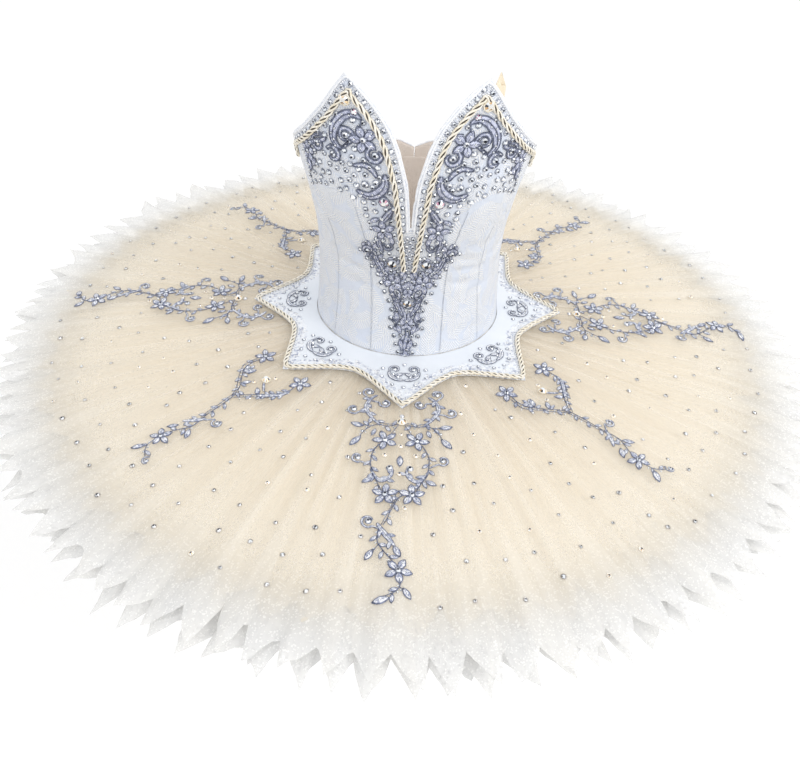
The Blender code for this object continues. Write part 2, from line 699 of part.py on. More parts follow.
def motif_outline(motif):
    """The flat outline of a flower, leaf, curl or gem at its place."""
    turn = math.radians(motif.turn)
    place = Vector((motif.along, motif.side))
    if motif.kind == "curl":
        arc = np.linspace(0.0, math.radians(CURL_SWEEP if motif.turn > 0 else -CURL_SWEEP), CURL_POINTS)
        shrink = np.linspace(1.0, CURL_END, CURL_POINTS)
        path = [Vector((math.cos(turn + a), math.sin(turn + a))) * motif.size * s for a, s in zip(arc, shrink)]
        return [place + point for point in ribbon_outline(path, CORD_HALF_WIDTH)]
    if motif.kind == "leaf":
        flat = [Vector((motif.size * x, motif.size * y))
                for x, y in ((-0.5, 0.0), (-0.2, 0.17), (0.2, 0.14), (0.5, 0.0), (0.2, -0.14), (-0.2, -0.17))]
    else:
        sides, dip = (10, 0.55) if motif.kind == "flower" else (8, 1.0)
        flat = []
        for i in range(sides):
            radius = motif.size * (dip if i % 2 else 1.0)
            flat.append(Vector((radius * math.cos(math.tau * i / sides), radius * math.sin(math.tau * i / sides))))
    return [place + point @ Matrix.Rotation(-turn, 2) for point in flat]


def raised_outline(name, outline):
    """A flat outline made a solid. A gem narrows towards its top, as a cut stone does."""
    bm = bmesh.new()
    gem = name == "gem"
    low, high = 0.0, GEM_HEIGHT if gem else APPLIQUE_HEIGHT
    middle = sum(outline, Vector((0.0, 0.0))) / len(outline)
    top = [middle + (point - middle) * (0.55 if gem else 1.0) for point in outline]
    rings = [[bm.verts.new((*point, height)) for point in ring] for ring, height in ((outline, low), (top, high))]
    bm.faces.new(rings[0])
    bm.faces.new(rings[1])
    for i in range(len(outline)):
        k = (i + 1) % len(outline)
        bm.faces.new((rings[0][i], rings[0][k], rings[1][k], rings[1][i]))
    return mesh_of(name, bm)


def long_runs_divided(path, longest):
    divided = [path[0]]
    for point in path[1:]:
        start = divided[-1]
        count = math.ceil((point - start).length / longest)
        divided += [start.lerp(point, (i + 1) / count) for i in range(count)]
    return divided


def joined(name, meshes):
    """One body from overlapping meshes, by Boolean unions."""
    base = bpy.data.objects.new(name, meshes[0])
    TOOLS.objects.link(base)
    for mesh in meshes[1:]:
        tool = bpy.data.objects.new(mesh.name, mesh)
        TOOLS.objects.link(tool)
        union = base.modifiers.new("join", "BOOLEAN")
        union.operation = "UNION"
        union.object = tool
    bpy.context.view_layer.update()
    whole = bpy.data.meshes.new_from_object(base.evaluated_get(bpy.context.evaluated_depsgraph_get()))
    for found in list(TOOLS.objects):
        bpy.data.objects.remove(found, do_unlink=True)
    bm = bmesh.new()
    bm.from_mesh(whole)
    bmesh.ops.remove_doubles(bm, verts=bm.verts, dist=1e-5)
    inner = [edge for edge in bm.edges if len(edge.link_faces) == 2 and edge.calc_face_angle(0.0) < 1e-3]
    bmesh.ops.dissolve_edges(bm, edges=inner, use_verts=False)
    bmesh.ops.triangulate(bm, faces=bm.faces)
    return mesh_of(name, bm)


def applique(name, motifs, stems, cloth):
    """A flat applique: corded stems with curls, leaves, flowers and stones joined to them."""
    meshes = []
    for stem in stems:
        path = long_runs_divided([Vector(point) for point in stem], LONGEST_RUN[cloth])
        meshes.append(raised_outline("stem", ribbon_outline(path, CORD_HALF_WIDTH)))
    for motif in motifs:
        meshes.append(raised_outline(motif.kind, motif_outline(motif)))
    return joined(name, meshes)


def laid(mesh, name, place):
    """A copy of a flat applique with each point moved by place(along, side, height)."""
    copy = mesh.copy()
    copy.name = name
    for vert in copy.vertices:
        vert.co = place(*vert.co)
    bm = bmesh.new()
    bm.from_mesh(copy)
    bmesh.ops.recalc_face_normals(bm, faces=bm.faces)
    bm.to_mesh(copy)
    bm.free()
    return copy


def add_sprays():
    large = applique("large", LARGE_SPRAY, LARGE_STEMS, "net")
    small = applique("small", SMALL_SPRAY, SMALL_STEMS, "net")
    for i in range(PLATE_POINTS):
        name = f"spray_{i * 360 // PLATE_POINTS}"
        centre = i * 360.0 / PLATE_POINTS

        def place(along, side, height, centre=centre):
            radius = math.hypot(along, side)
            angle = centre + math.degrees(math.atan2(side, along))
            return on_net(angle, radius, height + GAP)
        add_piece(name, laid(small if i % 2 else large, name, place), "silver_blue_cord")


def add_bodice_applique():
    cup = applique("cup", CUP_MOTIFS, CUP_STEMS, "body")
    front = applique("front", FRONT_MOTIFS, FRONT_STEMS, "body")
    pieces = (("cup_applique_left", cup, 1), ("cup_applique_right", cup, -1), ("front_applique", front, 1))
    for name, mesh, side in pieces:
        def place(along, across, height, side=side):
            angle = side * math.degrees(across / BODY_REACH)
            return moved_out(body, angle, along, height + 3 * GAP)
        add_piece(name, laid(mesh, name, place), "silver_blue_cord")


# ---- straps and hooks -----------------------------------------------------------------------------

def strap_run(fold):
    """(angle, height, inward) down the strap, from its sewn end over the fold to the back edge."""
    run = [(STRAP_FOLD_ANGLE + turn.beyond, fold - turn.drop, turn.inward) for turn in STRAP_TURN]
    lowest = fold - STRAP_TURN[0].drop
    return run + [(row.angle, row.height, 2 * STRAP_SINK) for row in STRAP if row.height < lowest]


def add_straps():
    """Nude elastic shoulder straps, folded down slack inside the bodice."""
    for hand, side in (("left", 1), ("right", -1)):
        run = strap_run(STRAP_FOLD[hand])
        spots = [moved_out(body, side * angle, height, -STRAP_INSET - inward) for angle, height, inward in run]
        grids = ([], [])
        across = None
        for i, ((angle, height, _), spot) in enumerate(zip(run, spots)):
            tangent = (spots[min(i + 1, len(spots) - 1)] - spots[max(i - 1, 0)]).normalized()
            found = tangent.cross(moved_out(body, side * angle, height, 0.0) - spot).normalized()
            if across and found.dot(across) < 0:
                found.negate()
            across = found
            normal = across.cross(tangent).normalized() * STRAP_WALL / 2
            for grid, sign in zip(grids, (1, -1)):
                grid.append([spot + normal * sign + across * STRAP_WIDTH * share for share in (-0.5, 0.0, 0.5)])
        name = f"shoulder_strap_{hand}"
        add_piece(name, wall_between(name, *grids), "nude_elastic")


def add_hooks():
    """Wire hooks that close the back edge to edge."""
    low, high = HIP_Z + HOOK_MARGIN[0], top_height(180.0) - HOOK_MARGIN[1]
    for i, height in enumerate(np.linspace(low, high, HOOKS)):
        middle = moved_out(body, 180.0, float(height), HOOK_WIRE + 2 * GAP)
        points = [middle + Vector((x, 0.0, z)) * HOOK_LENGTH / 2 for x, z in HOOK_SHAPE]
        name = f"back_hook_{i + 1}"
        add_piece(name, cord_mesh(name, points, HOOK_WIRE, sides=4, closed=True), "hook_steel")


clear_scene()
TUTU = new_collection("ballet_tutu")
TOOLS = new_collection("tools", hidden=True)
add_bodice()
add_placket()
add_braids()
add_knickers()
add_net()
add_plate()
add_rope()
add_sprays()
add_bodice_applique()
add_straps()
add_hooks()
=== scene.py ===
# %% [markdown]
# # A ballet tutu, dressed
#
# The frame holds the tutu as plain closed solids: a bodice cut in panels, knickers, a star-pointed
# plate and six rings of net. This lesson dresses each of them. Cloth becomes a thin shell with
# folds, cords and braids become twisted strands, and the stones are cut one facet at a time.
# Everything is in metres, with +Z up, and tables whose name or comment says so are in millimetres.
# The wearer would face -Y, so the wearer's left is +X.

import math
import random
from contextlib import contextmanager
from functools import partialmethod

import bpy
import numpy as np
from mathutils import Matrix, Vector
from mathutils.bvhtree import BVHTree


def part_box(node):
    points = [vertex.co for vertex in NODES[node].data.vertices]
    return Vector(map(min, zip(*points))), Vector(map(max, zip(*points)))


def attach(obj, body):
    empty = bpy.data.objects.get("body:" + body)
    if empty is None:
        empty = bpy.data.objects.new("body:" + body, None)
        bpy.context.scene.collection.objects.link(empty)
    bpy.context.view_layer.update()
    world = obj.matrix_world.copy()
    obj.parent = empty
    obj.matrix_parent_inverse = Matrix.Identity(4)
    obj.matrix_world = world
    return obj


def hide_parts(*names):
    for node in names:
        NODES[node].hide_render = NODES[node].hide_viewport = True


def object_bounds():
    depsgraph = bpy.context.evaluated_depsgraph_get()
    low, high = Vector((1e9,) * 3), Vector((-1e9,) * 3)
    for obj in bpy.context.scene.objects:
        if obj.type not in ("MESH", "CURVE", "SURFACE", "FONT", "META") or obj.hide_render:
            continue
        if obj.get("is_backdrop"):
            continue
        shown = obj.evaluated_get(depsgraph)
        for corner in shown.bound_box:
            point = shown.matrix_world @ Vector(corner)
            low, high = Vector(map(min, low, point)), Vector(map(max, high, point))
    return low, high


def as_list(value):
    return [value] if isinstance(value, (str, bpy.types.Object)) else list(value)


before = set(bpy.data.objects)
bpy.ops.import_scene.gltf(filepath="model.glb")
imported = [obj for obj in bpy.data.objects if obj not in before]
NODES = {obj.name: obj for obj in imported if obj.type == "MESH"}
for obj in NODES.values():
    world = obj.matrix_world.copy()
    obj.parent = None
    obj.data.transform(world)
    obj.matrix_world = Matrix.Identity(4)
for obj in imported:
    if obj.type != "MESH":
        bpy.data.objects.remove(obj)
CAD_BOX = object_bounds()
print(len(NODES), "nodes, from", [round(x, 3) for x in CAD_BOX[0]], "to", [round(x, 3) for x in CAD_BOX[1]])

# %% [markdown]
# ## Working by hand, in code
#
# Blender's operators act on what is selected, so every step first says what that is. `pick` selects
# objects, and `editing` opens one in edit mode for as long as its block lasts. `added` takes up what
# an operator has just made. `store` finishes a piece: it names it, bakes its place into its mesh,
# and hangs it on the tutu's only body.

# %% Selecting, editing and storing pieces
def pick(*objects):
    bpy.ops.object.select_all(action="DESELECT")
    for found in objects:
        found.select_set(True)
    bpy.context.view_layer.objects.active = objects[0]


@contextmanager
def editing(piece):
    """Edit mode, with all of a piece selected."""
    pick(piece)
    bpy.ops.object.mode_set(mode="EDIT")
    bpy.ops.mesh.select_all(action="SELECT")
    yield
    bpy.ops.object.mode_set(mode="OBJECT")


def added(*finishes):
    """The object that an operator has just added, with its materials."""
    piece = bpy.context.object
    for finish in finishes:
        piece.data.materials.append(finish)
    return piece


def apply(piece, kind, **settings):
    """Adds a modifier to a piece and applies it."""
    pick(piece)
    modifier = piece.modifiers.new(kind.title(), kind)
    for name, value in settings.items():
        setattr(modifier, name, value)
    bpy.ops.object.modifier_apply(modifier=modifier.name)


def bake_place(piece):
    pick(piece)
    bpy.ops.object.transform_apply(location=True, rotation=True, scale=True)


def join(name, pieces):
    """One object from several, which keeps the materials of each."""
    pick(*pieces)
    if len(pieces) > 1:
        bpy.ops.object.join()
    pieces[0].name = name
    return pieces[0]


def store(piece, name, slot, finishes=(), nodes=(), smooth=60):
    """A finished piece: named, shaded, on its body, and standing for its nodes."""
    bake_place(piece)
    piece.name = piece.data.name = name
    if finishes:
        piece.data.materials.clear()
        for finish in finishes:
            piece.data.materials.append(finish)
    bpy.ops.object.shade_smooth_by_angle(angle=math.radians(smooth))
    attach(piece, "root")
    if nodes:
        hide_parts(*nodes)
    print(name, len(piece.data.polygons), "faces")
    return piece


def face_outwards(piece):
    with editing(piece):
        bpy.ops.mesh.normals_make_consistent(inside=False)


def copied(master, matrix):
    """A copy of a master with its own mesh, placed by a matrix."""
    piece = master.copy()
    piece.data = master.data.copy()
    piece.data.transform(matrix)
    bpy.context.collection.objects.link(piece)
    return piece


def points_of(piece):
    """A mesh's points as rows of x, y and z."""
    found = np.empty(len(piece.data.vertices) * 3)
    piece.data.vertices.foreach_get("co", found)
    return found.reshape(-1, 3)


def angles_of(spots):
    """The angle of each point round the body, in radians from centre front."""
    return np.arctan2(spots[:, 0], -spots[:, 1])


def move_points(piece, points):
    piece.data.vertices.foreach_set("co", np.asarray(points, float).ravel())
    piece.data.update()


def polar(angle, radius):
    """A point at an angle in degrees from centre front, which grows towards the wearer's left."""
    turn = math.radians(angle)
    return Vector((radius * math.sin(turn), -radius * math.cos(turn), 0.0))

# %% [markdown]
# ## Writing shaders as sums
#
# A node tree is easier to read as arithmetic. `Wire` holds one output of a node, and its operators
# add Math nodes. `Finish` is a material: its `node` method adds any other node, sets the node's own
# settings first, and then gives its sockets a value or a wire. Cloth needs only a few patterns, so
# they are methods here: fine grain, cells, and a blend of two colours.

# %% Wires and finishes
class Wire:
    """One output of a node, on which sums can be written."""

    def __init__(self, finish, socket):
        self.finish, self.socket = finish, socket

    def maths(self, operation, *others):
        values = dict(enumerate((self, *others)))
        return self.finish.node("ShaderNodeMath", {"operation": operation}, values)

    def __rsub__(self, other):
        return self.finish.node("ShaderNodeMath", {"operation": "SUBTRACT"}, {0: other, 1: self})

    def step(self, low, high):
        """0 below low and 1 above high, with a smooth way between."""
        inputs = {"Value": self, "From Min": low, "From Max": high}
        return self.finish.node("ShaderNodeMapRange", {"interpolation_type": "SMOOTHSTEP"}, inputs)

    def wave(self, pitch):
        """A sine between 0 and 1 that repeats at a pitch."""
        return (self * (math.tau / pitch)).maths("SINE") * 0.5 + 0.5


OPERATORS = {
    "add": "ADD", "radd": "ADD", "sub": "SUBTRACT", "mul": "MULTIPLY", "rmul": "MULTIPLY",
    "truediv": "DIVIDE", "gt": "GREATER_THAN", "lt": "LESS_THAN"}
for sign, operation in OPERATORS.items():
    setattr(Wire, f"__{sign}__", partialmethod(Wire.maths, operation))


class Finish:
    """A material. Plain values go straight to the sockets of its Principled shader."""

    def __init__(self, name, **values):
        self.material = bpy.data.materials.new(name)
        self.material.use_nodes = True
        self.tree = self.material.node_tree
        self.shader = self.tree.nodes["Principled BSDF"]
        self.set(**values)
        self.place = self.node("ShaderNodeTexCoord", {}, {}, "Object")

    def set(self, **values):
        for name, value in values.items():
            self.plug(self.shader.inputs[name.replace("_", " ")], value)
        return self.material

    def plug(self, socket, value):
        if isinstance(value, Wire):
            self.tree.links.new(value.socket, socket)
        elif isinstance(value, tuple) and len(value) == 3 and socket.type == "RGBA":
            socket.default_value = (*value, 1.0)
        else:
            socket.default_value = value

    def node(self, kind, settings, inputs, output=0):
        made = self.tree.nodes.new(kind)
        for name, value in settings.items():
            setattr(made, name, value)
        for name, value in inputs.items():
            self.plug(made.inputs[name], value)
        return Wire(self, made.outputs[output])

    def mix(self, share, first, second):
        return self.node("ShaderNodeMix", {"data_type": "RGBA"}, {0: share, 6: first, 7: second}, 2)

    def grain(self, size, detail=2.0, place=None, roughness=0.5):
        """Soft uneven grain from 0 to 1, of a size in metres."""
        inputs = {"Vector": place or self.place, "Scale": 1 / size, "Detail": detail, "Roughness": roughness}
        return self.node("ShaderNodeTexNoise", {}, inputs)

    def cells(self, size, output="Distance", place=None):
        inputs = {"Vector": place or self.place, "Scale": 1 / size}
        return self.node("ShaderNodeTexVoronoi", {}, inputs, output)

    def cell_shade(self, size, place=None):
        """A number from 0 to 1 for each cell."""
        return self.node("ShaderNodeSeparateColor", {}, {0: self.cells(size, "Color", place)})

    def bump(self, height, depth, strength=1.0):
        inputs = {"Height": height, "Distance": depth, "Strength": strength}
        return self.set(Normal=self.node("ShaderNodeBump", {}, inputs))

    def apart(self, vector):
        """The x, y and z of a vector."""
        first = self.node("ShaderNodeSeparateXYZ", {}, {0: vector})
        return [Wire(self, first.socket.node.outputs[i]) for i in range(3)]

    def cloth(self):
        """The way round the body and up it, from the cloth's own UV map, which is in metres."""
        return self.node("ShaderNodeUVMap", {"uv_map": "cloth"}, {})

# %% [markdown]
# ## White brocade
#
# The bodice is a white brocade with feathers woven in the same white: they show only because the
# weave turns and catches the light another way. Each cell of a cell pattern gives one feather its
# middle and its own direction. Across the middle line, slanted stripes make the barbs, and the line
# itself is the quill. The pattern shifts the tone by a few shades of blue-white, and the roughness
# and a very small bump with it.

# %% Brocade
FEATHER = 0.026             # size of one woven feather
BARB = 0.0033               # from one barb to the next
BARB_SLANT = 0.9
QUILL_BEND = 14.0           # how far the quill bows, per metre along it
QUILL_EDGE = (0.0002, 0.0008)   # how far from the middle line the quill fades out
VANE_EDGE = (0.009, 0.012)      # and the barbs
THREAD = 0.0005             # from one thread of the ground to the next


def brocade():
    finish = Finish("brocade", Metallic=0.0, Sheen_Weight=0.25, Sheen_Roughness=0.4)
    place = finish.cloth()
    around, up, _ = finish.apart(place)
    middle_x, middle_y, _ = finish.apart(finish.cells(FEATHER, "Position", place))
    turn = finish.cell_shade(FEATHER, place) * math.tau
    x, y = around - middle_x, up - middle_y
    cosine, sine = turn.maths("COSINE"), turn.maths("SINE")
    along, across = x * cosine + y * sine, y * cosine - x * sine
    side = (across + along * along * QUILL_BEND).maths("ABSOLUTE")
    barbs = (along - side * BARB_SLANT).wave(BARB).step(0.25, 0.75)
    feather = barbs * (1 - side.step(*VANE_EDGE)) * 0.8 + (1 - side.step(*QUILL_EDGE)) * 0.5
    weave = (around.wave(THREAD) + up.wave(THREAD)) * 0.5
    cloud = finish.grain(0.030, 4.0, place)
    tone = feather * 0.82 + cloud * 0.24
    colour = finish.mix(tone, (0.68, 0.74, 0.86), (1.0, 1.0, 1.0))
    finish.set(Base_Color=colour, Roughness=0.60 - feather * 0.26)
    return finish.bump(feather + cloud * 0.3 + weave * 0.25, 0.0006, 0.9)


BROCADE = brocade()

# %% [markdown]
# ## Plain cloths
#
# The lining is nude coutil, a tight herringbone. The knickers are a matt knit with fine ribs, and
# the straps are ribbed elastic. Each is a small repeat at its true size, a little uneven colour, and
# a bump from the same repeat, so that the threads also catch the light.

# %% Lining, knickers and elastic
def ribbed(name, light, dark, pitch, slant=0.0, depth=0.00015):
    """Cloth with one set of ribs, at a slant to the cloth's own upright."""
    finish = Finish(name, Sheen_Weight=0.2)
    around, up, _ = finish.apart(finish.cloth())
    ribs = (around + up * slant).wave(pitch)
    wear = finish.grain(0.02, 3.0)
    finish.set(Base_Color=finish.mix(ribs * 0.4 + wear * 0.6, dark, light), Roughness=0.65 - wear * 0.1)
    return finish.bump(ribs, depth)


COUTIL = ribbed("coutil", (0.87, 0.805, 0.75), (0.78, 0.70, 0.64), 0.0012, slant=1.0)
KNIT = ribbed("knit", (0.92, 0.90, 0.86), (0.84, 0.81, 0.76), 0.0010)
ELASTIC = ribbed("elastic", (0.93, 0.84, 0.68), (0.78, 0.66, 0.48), 0.0016, depth=0.0003)

# %% [markdown]
# ## Satin plate
#
# The plate is heavy white satin. A band of lace and seed sequins runs along its border, about a
# finger's breadth wide. The plate's mesh will carry an attribute, `edge`, that is the distance to its
# outline, so the band can follow the star. Small cells stand for the sequins: each has its own tone,
# and its rounded top goes to the bump.

# %% Satin with a lace border
LACE_BAND = 0.020           # width of the lace
SEQUIN = 0.0030


def satin():
    finish = Finish("satin", Sheen_Weight=0.15, Specular_IOR_Level=0.5)
    edge = finish.node("ShaderNodeAttribute", {"attribute_name": "edge"}, {}, "Fac")
    ragged = (finish.grain(0.009, 1.0) - 0.5) * 0.012
    band = 1 - (edge + ragged).step(LACE_BAND * 0.80, LACE_BAND)
    dome = 1 - finish.cells(SEQUIN).step(0.0, 0.75)
    tone = finish.cell_shade(SEQUIN)
    lace = band * (finish.grain(0.006, 1.0).step(0.42, 0.60) * 0.6 + 0.4)
    plain = finish.mix(finish.grain(0.03, 3.0), (0.74, 0.785, 0.85), (0.84, 0.875, 0.93))
    beads = finish.mix(tone.step(0.15, 0.55), (0.36, 0.40, 0.54), (0.97, 0.98, 1.0))
    colour = finish.mix(lace * 0.85, plain, beads)
    finish.set(Base_Color=colour, Roughness=0.46 - lace * 0.2, Metallic=lace * 0.12)
    return finish.bump(lace * dome + finish.grain(0.0009, 1.0) * 0.12, 0.0012, 1.0)


SATIN = satin()

# %% [markdown]
# ## Net
#
# Stiff net is mostly holes, too small to draw one by one at this size, so it is a partly clear
# cloth: each of its two faces lets some light by. The top layer has glitter and the next one is
# cream, so the skirt is cream where both lie together and turns pale grey near the rim, where the
# cream one stops. Colour and cover are given at a few distances from the body's axis and blended
# between them, and the cream one darkens towards the hip as painted shade near the plate. The
# pressed pleats leave soft streaks that run out from the hip. The net's cover changes along them,
# and their paler colour is painted light on the fine pleats. The glitter sits in specks of painted
# light: the bright ones are painted glints and the grey ones painted dull reflections. The streaks
# are a noise read on the direction from the middle, which has no seam anywhere round the ring. The
# lower layers are seen only at the rim and from below, so they have few streaks or none, which keeps
# the light's way through them cheap.

# %% Net finishes
SPECK = 0.0014              # size of a speck of glitter
STREAKS_ROUND, STREAKS_OUT = 26.0, 3.0  # how fine the streaks are round the skirt, and outwards


def net(name, tones, cover, glitter, pressed):
    """Net with colours and cover at distances from the axis, and shares of glitter and of streaks."""
    finish = Finish(name, Roughness=0.8, Specular_IOR_Level=0.15)
    x, y, _ = finish.apart(finish.place)
    radius = (x * x + y * y).maths("SQRT")
    reach, colour = tones[0]
    for further, tone in tones[1:]:
        colour = finish.mix(radius.step(reach, further), colour, tone)
        reach = further
    (near, covered), (far, at_rim) = cover
    alpha = radius.step(near, far) * (at_rim - covered) + covered
    if glitter:
        speck = finish.cell_shade(SPECK)
        # Painted light: bright specks are painted glints of the glitter, and grey ones are painted dull
        # reflections.
        near_rim = radius.step(0.36, 0.50) * 0.8 + 0.2
        grey, bright = (speck < 0.10) * near_rim, (speck > 0.86) * near_rim
        colour = finish.mix(grey * (0.42 * glitter), colour, (0.45, 0.45, 0.46))
        colour = finish.mix(bright * (0.40 * glitter), colour, (1.0, 1.0, 0.98))
        alpha = alpha + (grey + bright) * (0.11 * glitter)
    if pressed:
        # The paler streaks are painted light on the fine pleats; the cover along them is the net lying
        # thicker or thinner.
        outwards = {0: x / radius * STREAKS_ROUND, 1: y / radius * STREAKS_ROUND, 2: radius * STREAKS_OUT}
        streak = finish.grain(1.0, 5.0, finish.node("ShaderNodeCombineXYZ", {}, outwards), 0.62)
        colour = finish.mix(streak.step(0.36, 0.66) * (0.30 * pressed), colour, (0.93, 0.91, 0.86))
        alpha = (streak - 0.5) * (0.45 * pressed) + alpha
        finish.bump(streak, 0.0016, 0.6)
    return finish.set(Base_Color=colour, Alpha=alpha)


RIM_TONE = (0.855, 0.855, 0.85)
GLITTER_NET = net(
    "glitter_net", ((0.30, (0.90, 0.825, 0.70)), (0.44, (0.90, 0.845, 0.745)), (0.51, RIM_TONE)),
    ((0.40, 0.24), (0.52, 0.55)), 1.0, 1.0)
# The cream darkens towards the hip as painted shade near the plate.
CREAM_NET = net(
    "cream_net", ((0.13, (0.75, 0.655, 0.52)), (0.32, (0.865, 0.79, 0.66)), (0.49, (0.89, 0.835, 0.735))),
    ((0.42, 0.94), (0.49, 0.50)), 0.0, 0.6)
WHITE_NET = net(
    "white_net", ((0.38, (0.88, 0.83, 0.74)), (0.47, RIM_TONE)), ((0.40, 0.60), (0.50, 0.54)), 0.8, 0.7)
PLAIN_NET = net(
    "plain_net", ((0.30, (0.86, 0.81, 0.73)), (0.45, RIM_TONE)), ((0.40, 0.70), (0.50, 0.56)), 0.5, 0.0)

# %% [markdown]
# ## Metal thread, cords and stones
#
# The embroidery is silver thread with a blue cast, laid as cord, and a lighter one of the same pads
# the leaves. The padded thread's white on the net and on the plate is painted highlight on the metal.
# The threads there are also paler than on the bodice, partly as painted light, because they lie flat
# under the light while the bodice stands upright. The braid and the rope are cream silk and gold
# thread over a core that is painted dark as the shade between the turns. A stone's facets each send
# the light another way: some are painted white as glints, while their neighbours are painted dark as
# reflections. The dark ones get a finish of their own, because a soft studio has nothing dark for
# them to mirror.

# %% Threads, metals and stones
def thread(name, light, dark, metallic, roughness, pitch=0.0009, lined=0.35):
    """Twisted shiny thread, seen as fine slanted lines."""
    finish = Finish(name)
    x, y, z = finish.apart(finish.place)
    lines = (x + y + z * 0.7).wave(pitch)
    tone = lines * lined + finish.grain(0.0032).step(0.38, 0.62) * (1 - lined)
    colour = finish.mix(tone, dark, light)
    finish.set(Base_Color=colour, Metallic=metallic, Roughness=roughness + lines * 0.15)
    return finish.bump(lines, 0.0001)


def stone(name, light, dark, metallic=0.65, roughness=0.12, gloss=0.8):
    finish = Finish(name, Metallic=metallic, Roughness=roughness, Specular_IOR_Level=gloss)
    return finish.set(Base_Color=finish.mix(finish.grain(0.004, 0.0).step(0.35, 0.65), dark, light))


CORD_THREAD = thread("cord_thread", (0.20, 0.225, 0.31), (0.065, 0.075, 0.12), 0.35, 0.32)
PADDED_THREAD = thread("padded_thread", (0.72, 0.75, 0.90), (0.22, 0.25, 0.37), 0.25, 0.32, 0.0021, 0.5)
SPRAY_CORD = thread("spray_cord", (0.22, 0.255, 0.38), (0.070, 0.085, 0.145), 0.35, 0.32)
# White light ends here are painted highlights on the metal, and these net and plate copies are partly painted
# light.
SPRAY_PADDED = thread("spray_padded", (1.0, 1.0, 1.0), (0.24, 0.28, 0.44), 0.25, 0.32, 0.0021, 0.30)
MOON_PADDED = thread("moon_padded", (1.0, 1.0, 1.0), (0.55, 0.60, 0.74), 0.25, 0.32, 0.0021, 0.35)
GOLD_THREAD = thread("gold_thread", (0.97, 0.93, 0.82), (0.84, 0.75, 0.58), 0.15, 0.36)
CREAM_SILK = thread("cream_silk", (1.0, 0.975, 0.92), (0.88, 0.81, 0.67), 0.05, 0.45)
# The core's near black is painted shade in the gaps between the turns.
GAP_SHADE_CORE = thread("dark_core", (0.10, 0.075, 0.05), (0.02, 0.015, 0.01), 0.0, 0.6)
# The seams' grey is painted shade along the seams, laid as a thin cord.
SEAM_SHADE_LINE = thread("seam_thread", (0.58, 0.61, 0.68), (0.36, 0.39, 0.45), 0.0, 0.6)
PIPING = thread("piping", (0.94, 0.95, 0.98), (0.80, 0.83, 0.89), 0.0, 0.5)
SILVER = stone("silver_setting", (0.42, 0.45, 0.53), (0.17, 0.185, 0.24), 0.5, 0.3)
SKIRT_SILVER = stone("skirt_setting", (0.50, 0.475, 0.46), (0.20, 0.18, 0.17), 0.5, 0.3)
# The clear stone's white is partly a painted glint, and the dark facet below is a painted dark reflection.
CLEAR = stone("clear_stone", (0.98, 0.99, 1.0), (0.80, 0.85, 0.90), 0.35)
PAINTED_DARK_MIRROR = stone("dark_facet", (0.09, 0.095, 0.12), (0.012, 0.012, 0.02), 0.0, 0.35, 0.15)
PINK = stone("pink_facet", (0.88, 0.55, 0.62), (0.50, 0.22, 0.36), 0.4)
GOLD = stone("gold_facet", (0.95, 0.74, 0.46), (0.62, 0.38, 0.18), 0.5)
STEEL = stone("hook_steel", (0.72, 0.72, 0.74), (0.55, 0.55, 0.58), 1.0, 0.28)
ON_NET = {CORD_THREAD.name: SPRAY_CORD, PADDED_THREAD.name: SPRAY_PADDED}
ON_PLATE = {PADDED_THREAD.name: MOON_PADDED}
ON_SKIRT = {SILVER.name: SKIRT_SILVER}

# %% [markdown]
# ## The camera comes first
#
# The camera looks down at the tutu from a little above its bodice, as from a raised seat. Blender's
# camera looks along its own -Z, so it is tipped up from straight down, then turned and rolled a touch.

# %% Camera
LENS = 33.694               # millimetres, on a 36 mm sensor
EYE = (-0.0001, -0.8478, 0.4780)
LOOK_DOWN = math.radians(40.70)
ROLL = math.radians(2.44)
YAW = math.radians(0.336)

bpy.ops.object.camera_add(location=EYE)
camera = bpy.context.object
camera.data.lens = LENS
turns = (YAW, "Z"), (math.pi / 2 - LOOK_DOWN, "X"), (ROLL, "Z")
yaw, pitch, roll = (Matrix.Rotation(angle, 4, axis) for angle, axis in turns)
camera.rotation_euler = (yaw @ pitch @ roll).to_euler()
bpy.context.scene.camera = camera
print("camera", [round(math.degrees(x), 2) for x in camera.rotation_euler])

# %% [markdown]
# ## Refined cloth
#
# The solids are coarse on purpose. A panel of cloth needs rounder curves and soft creases, so its
# node is copied, merged and divided. A plain Subdivision Surface would also round the panel's cut
# edges and open its seams. To stop that, the sharp edges are creased first, which keeps them where
# they are while the faces between them get rounder.

# %% Refining a copy of a node
MERGE = 1e-5
SHARP = math.radians(50)
EDGE_ROUND = 0.0007
BODY_REACH = 0.127          # mean radius of the bodice


def refined(name, levels, rounding=EDGE_ROUND):
    """A copy of a node with merged doubles, four-sided faces, rounder curves and softened edges."""
    piece = copied(NODES[name], Matrix.Identity(4))
    piece.parent = None
    for key in list(piece.keys()):
        del piece[key]
    with editing(piece):
        bpy.ops.mesh.remove_doubles(threshold=MERGE)
        bpy.ops.mesh.tris_convert_to_quads()
        bpy.ops.mesh.select_all(action="DESELECT")
        bpy.ops.mesh.edges_select_sharp(sharpness=SHARP)
        bpy.ops.transform.edge_crease(value=1)
    apply(piece, "SUBSURF", levels=levels, render_levels=levels)
    apply(piece, "BEVEL", width=rounding, segments=2, limit_method="ANGLE", angle_limit=SHARP)
    return piece


def cloth_map(piece, middle):
    """A UV map in metres: the way round the body from an angle, and the height."""
    spots = points_of(piece)
    corners = np.empty(len(piece.data.loops), int)
    piece.data.loops.foreach_get("vertex_index", corners)
    start = math.radians(middle)
    around = (angles_of(spots) - start + math.pi) % math.tau - math.pi + start
    flat = np.column_stack((around * BODY_REACH, spots[:, 2]))[corners]
    while piece.data.uv_layers:
        piece.data.uv_layers.remove(piece.data.uv_layers[0])
    piece.data.uv_layers.new(name="cloth").data.foreach_set("uv", flat.ravel())

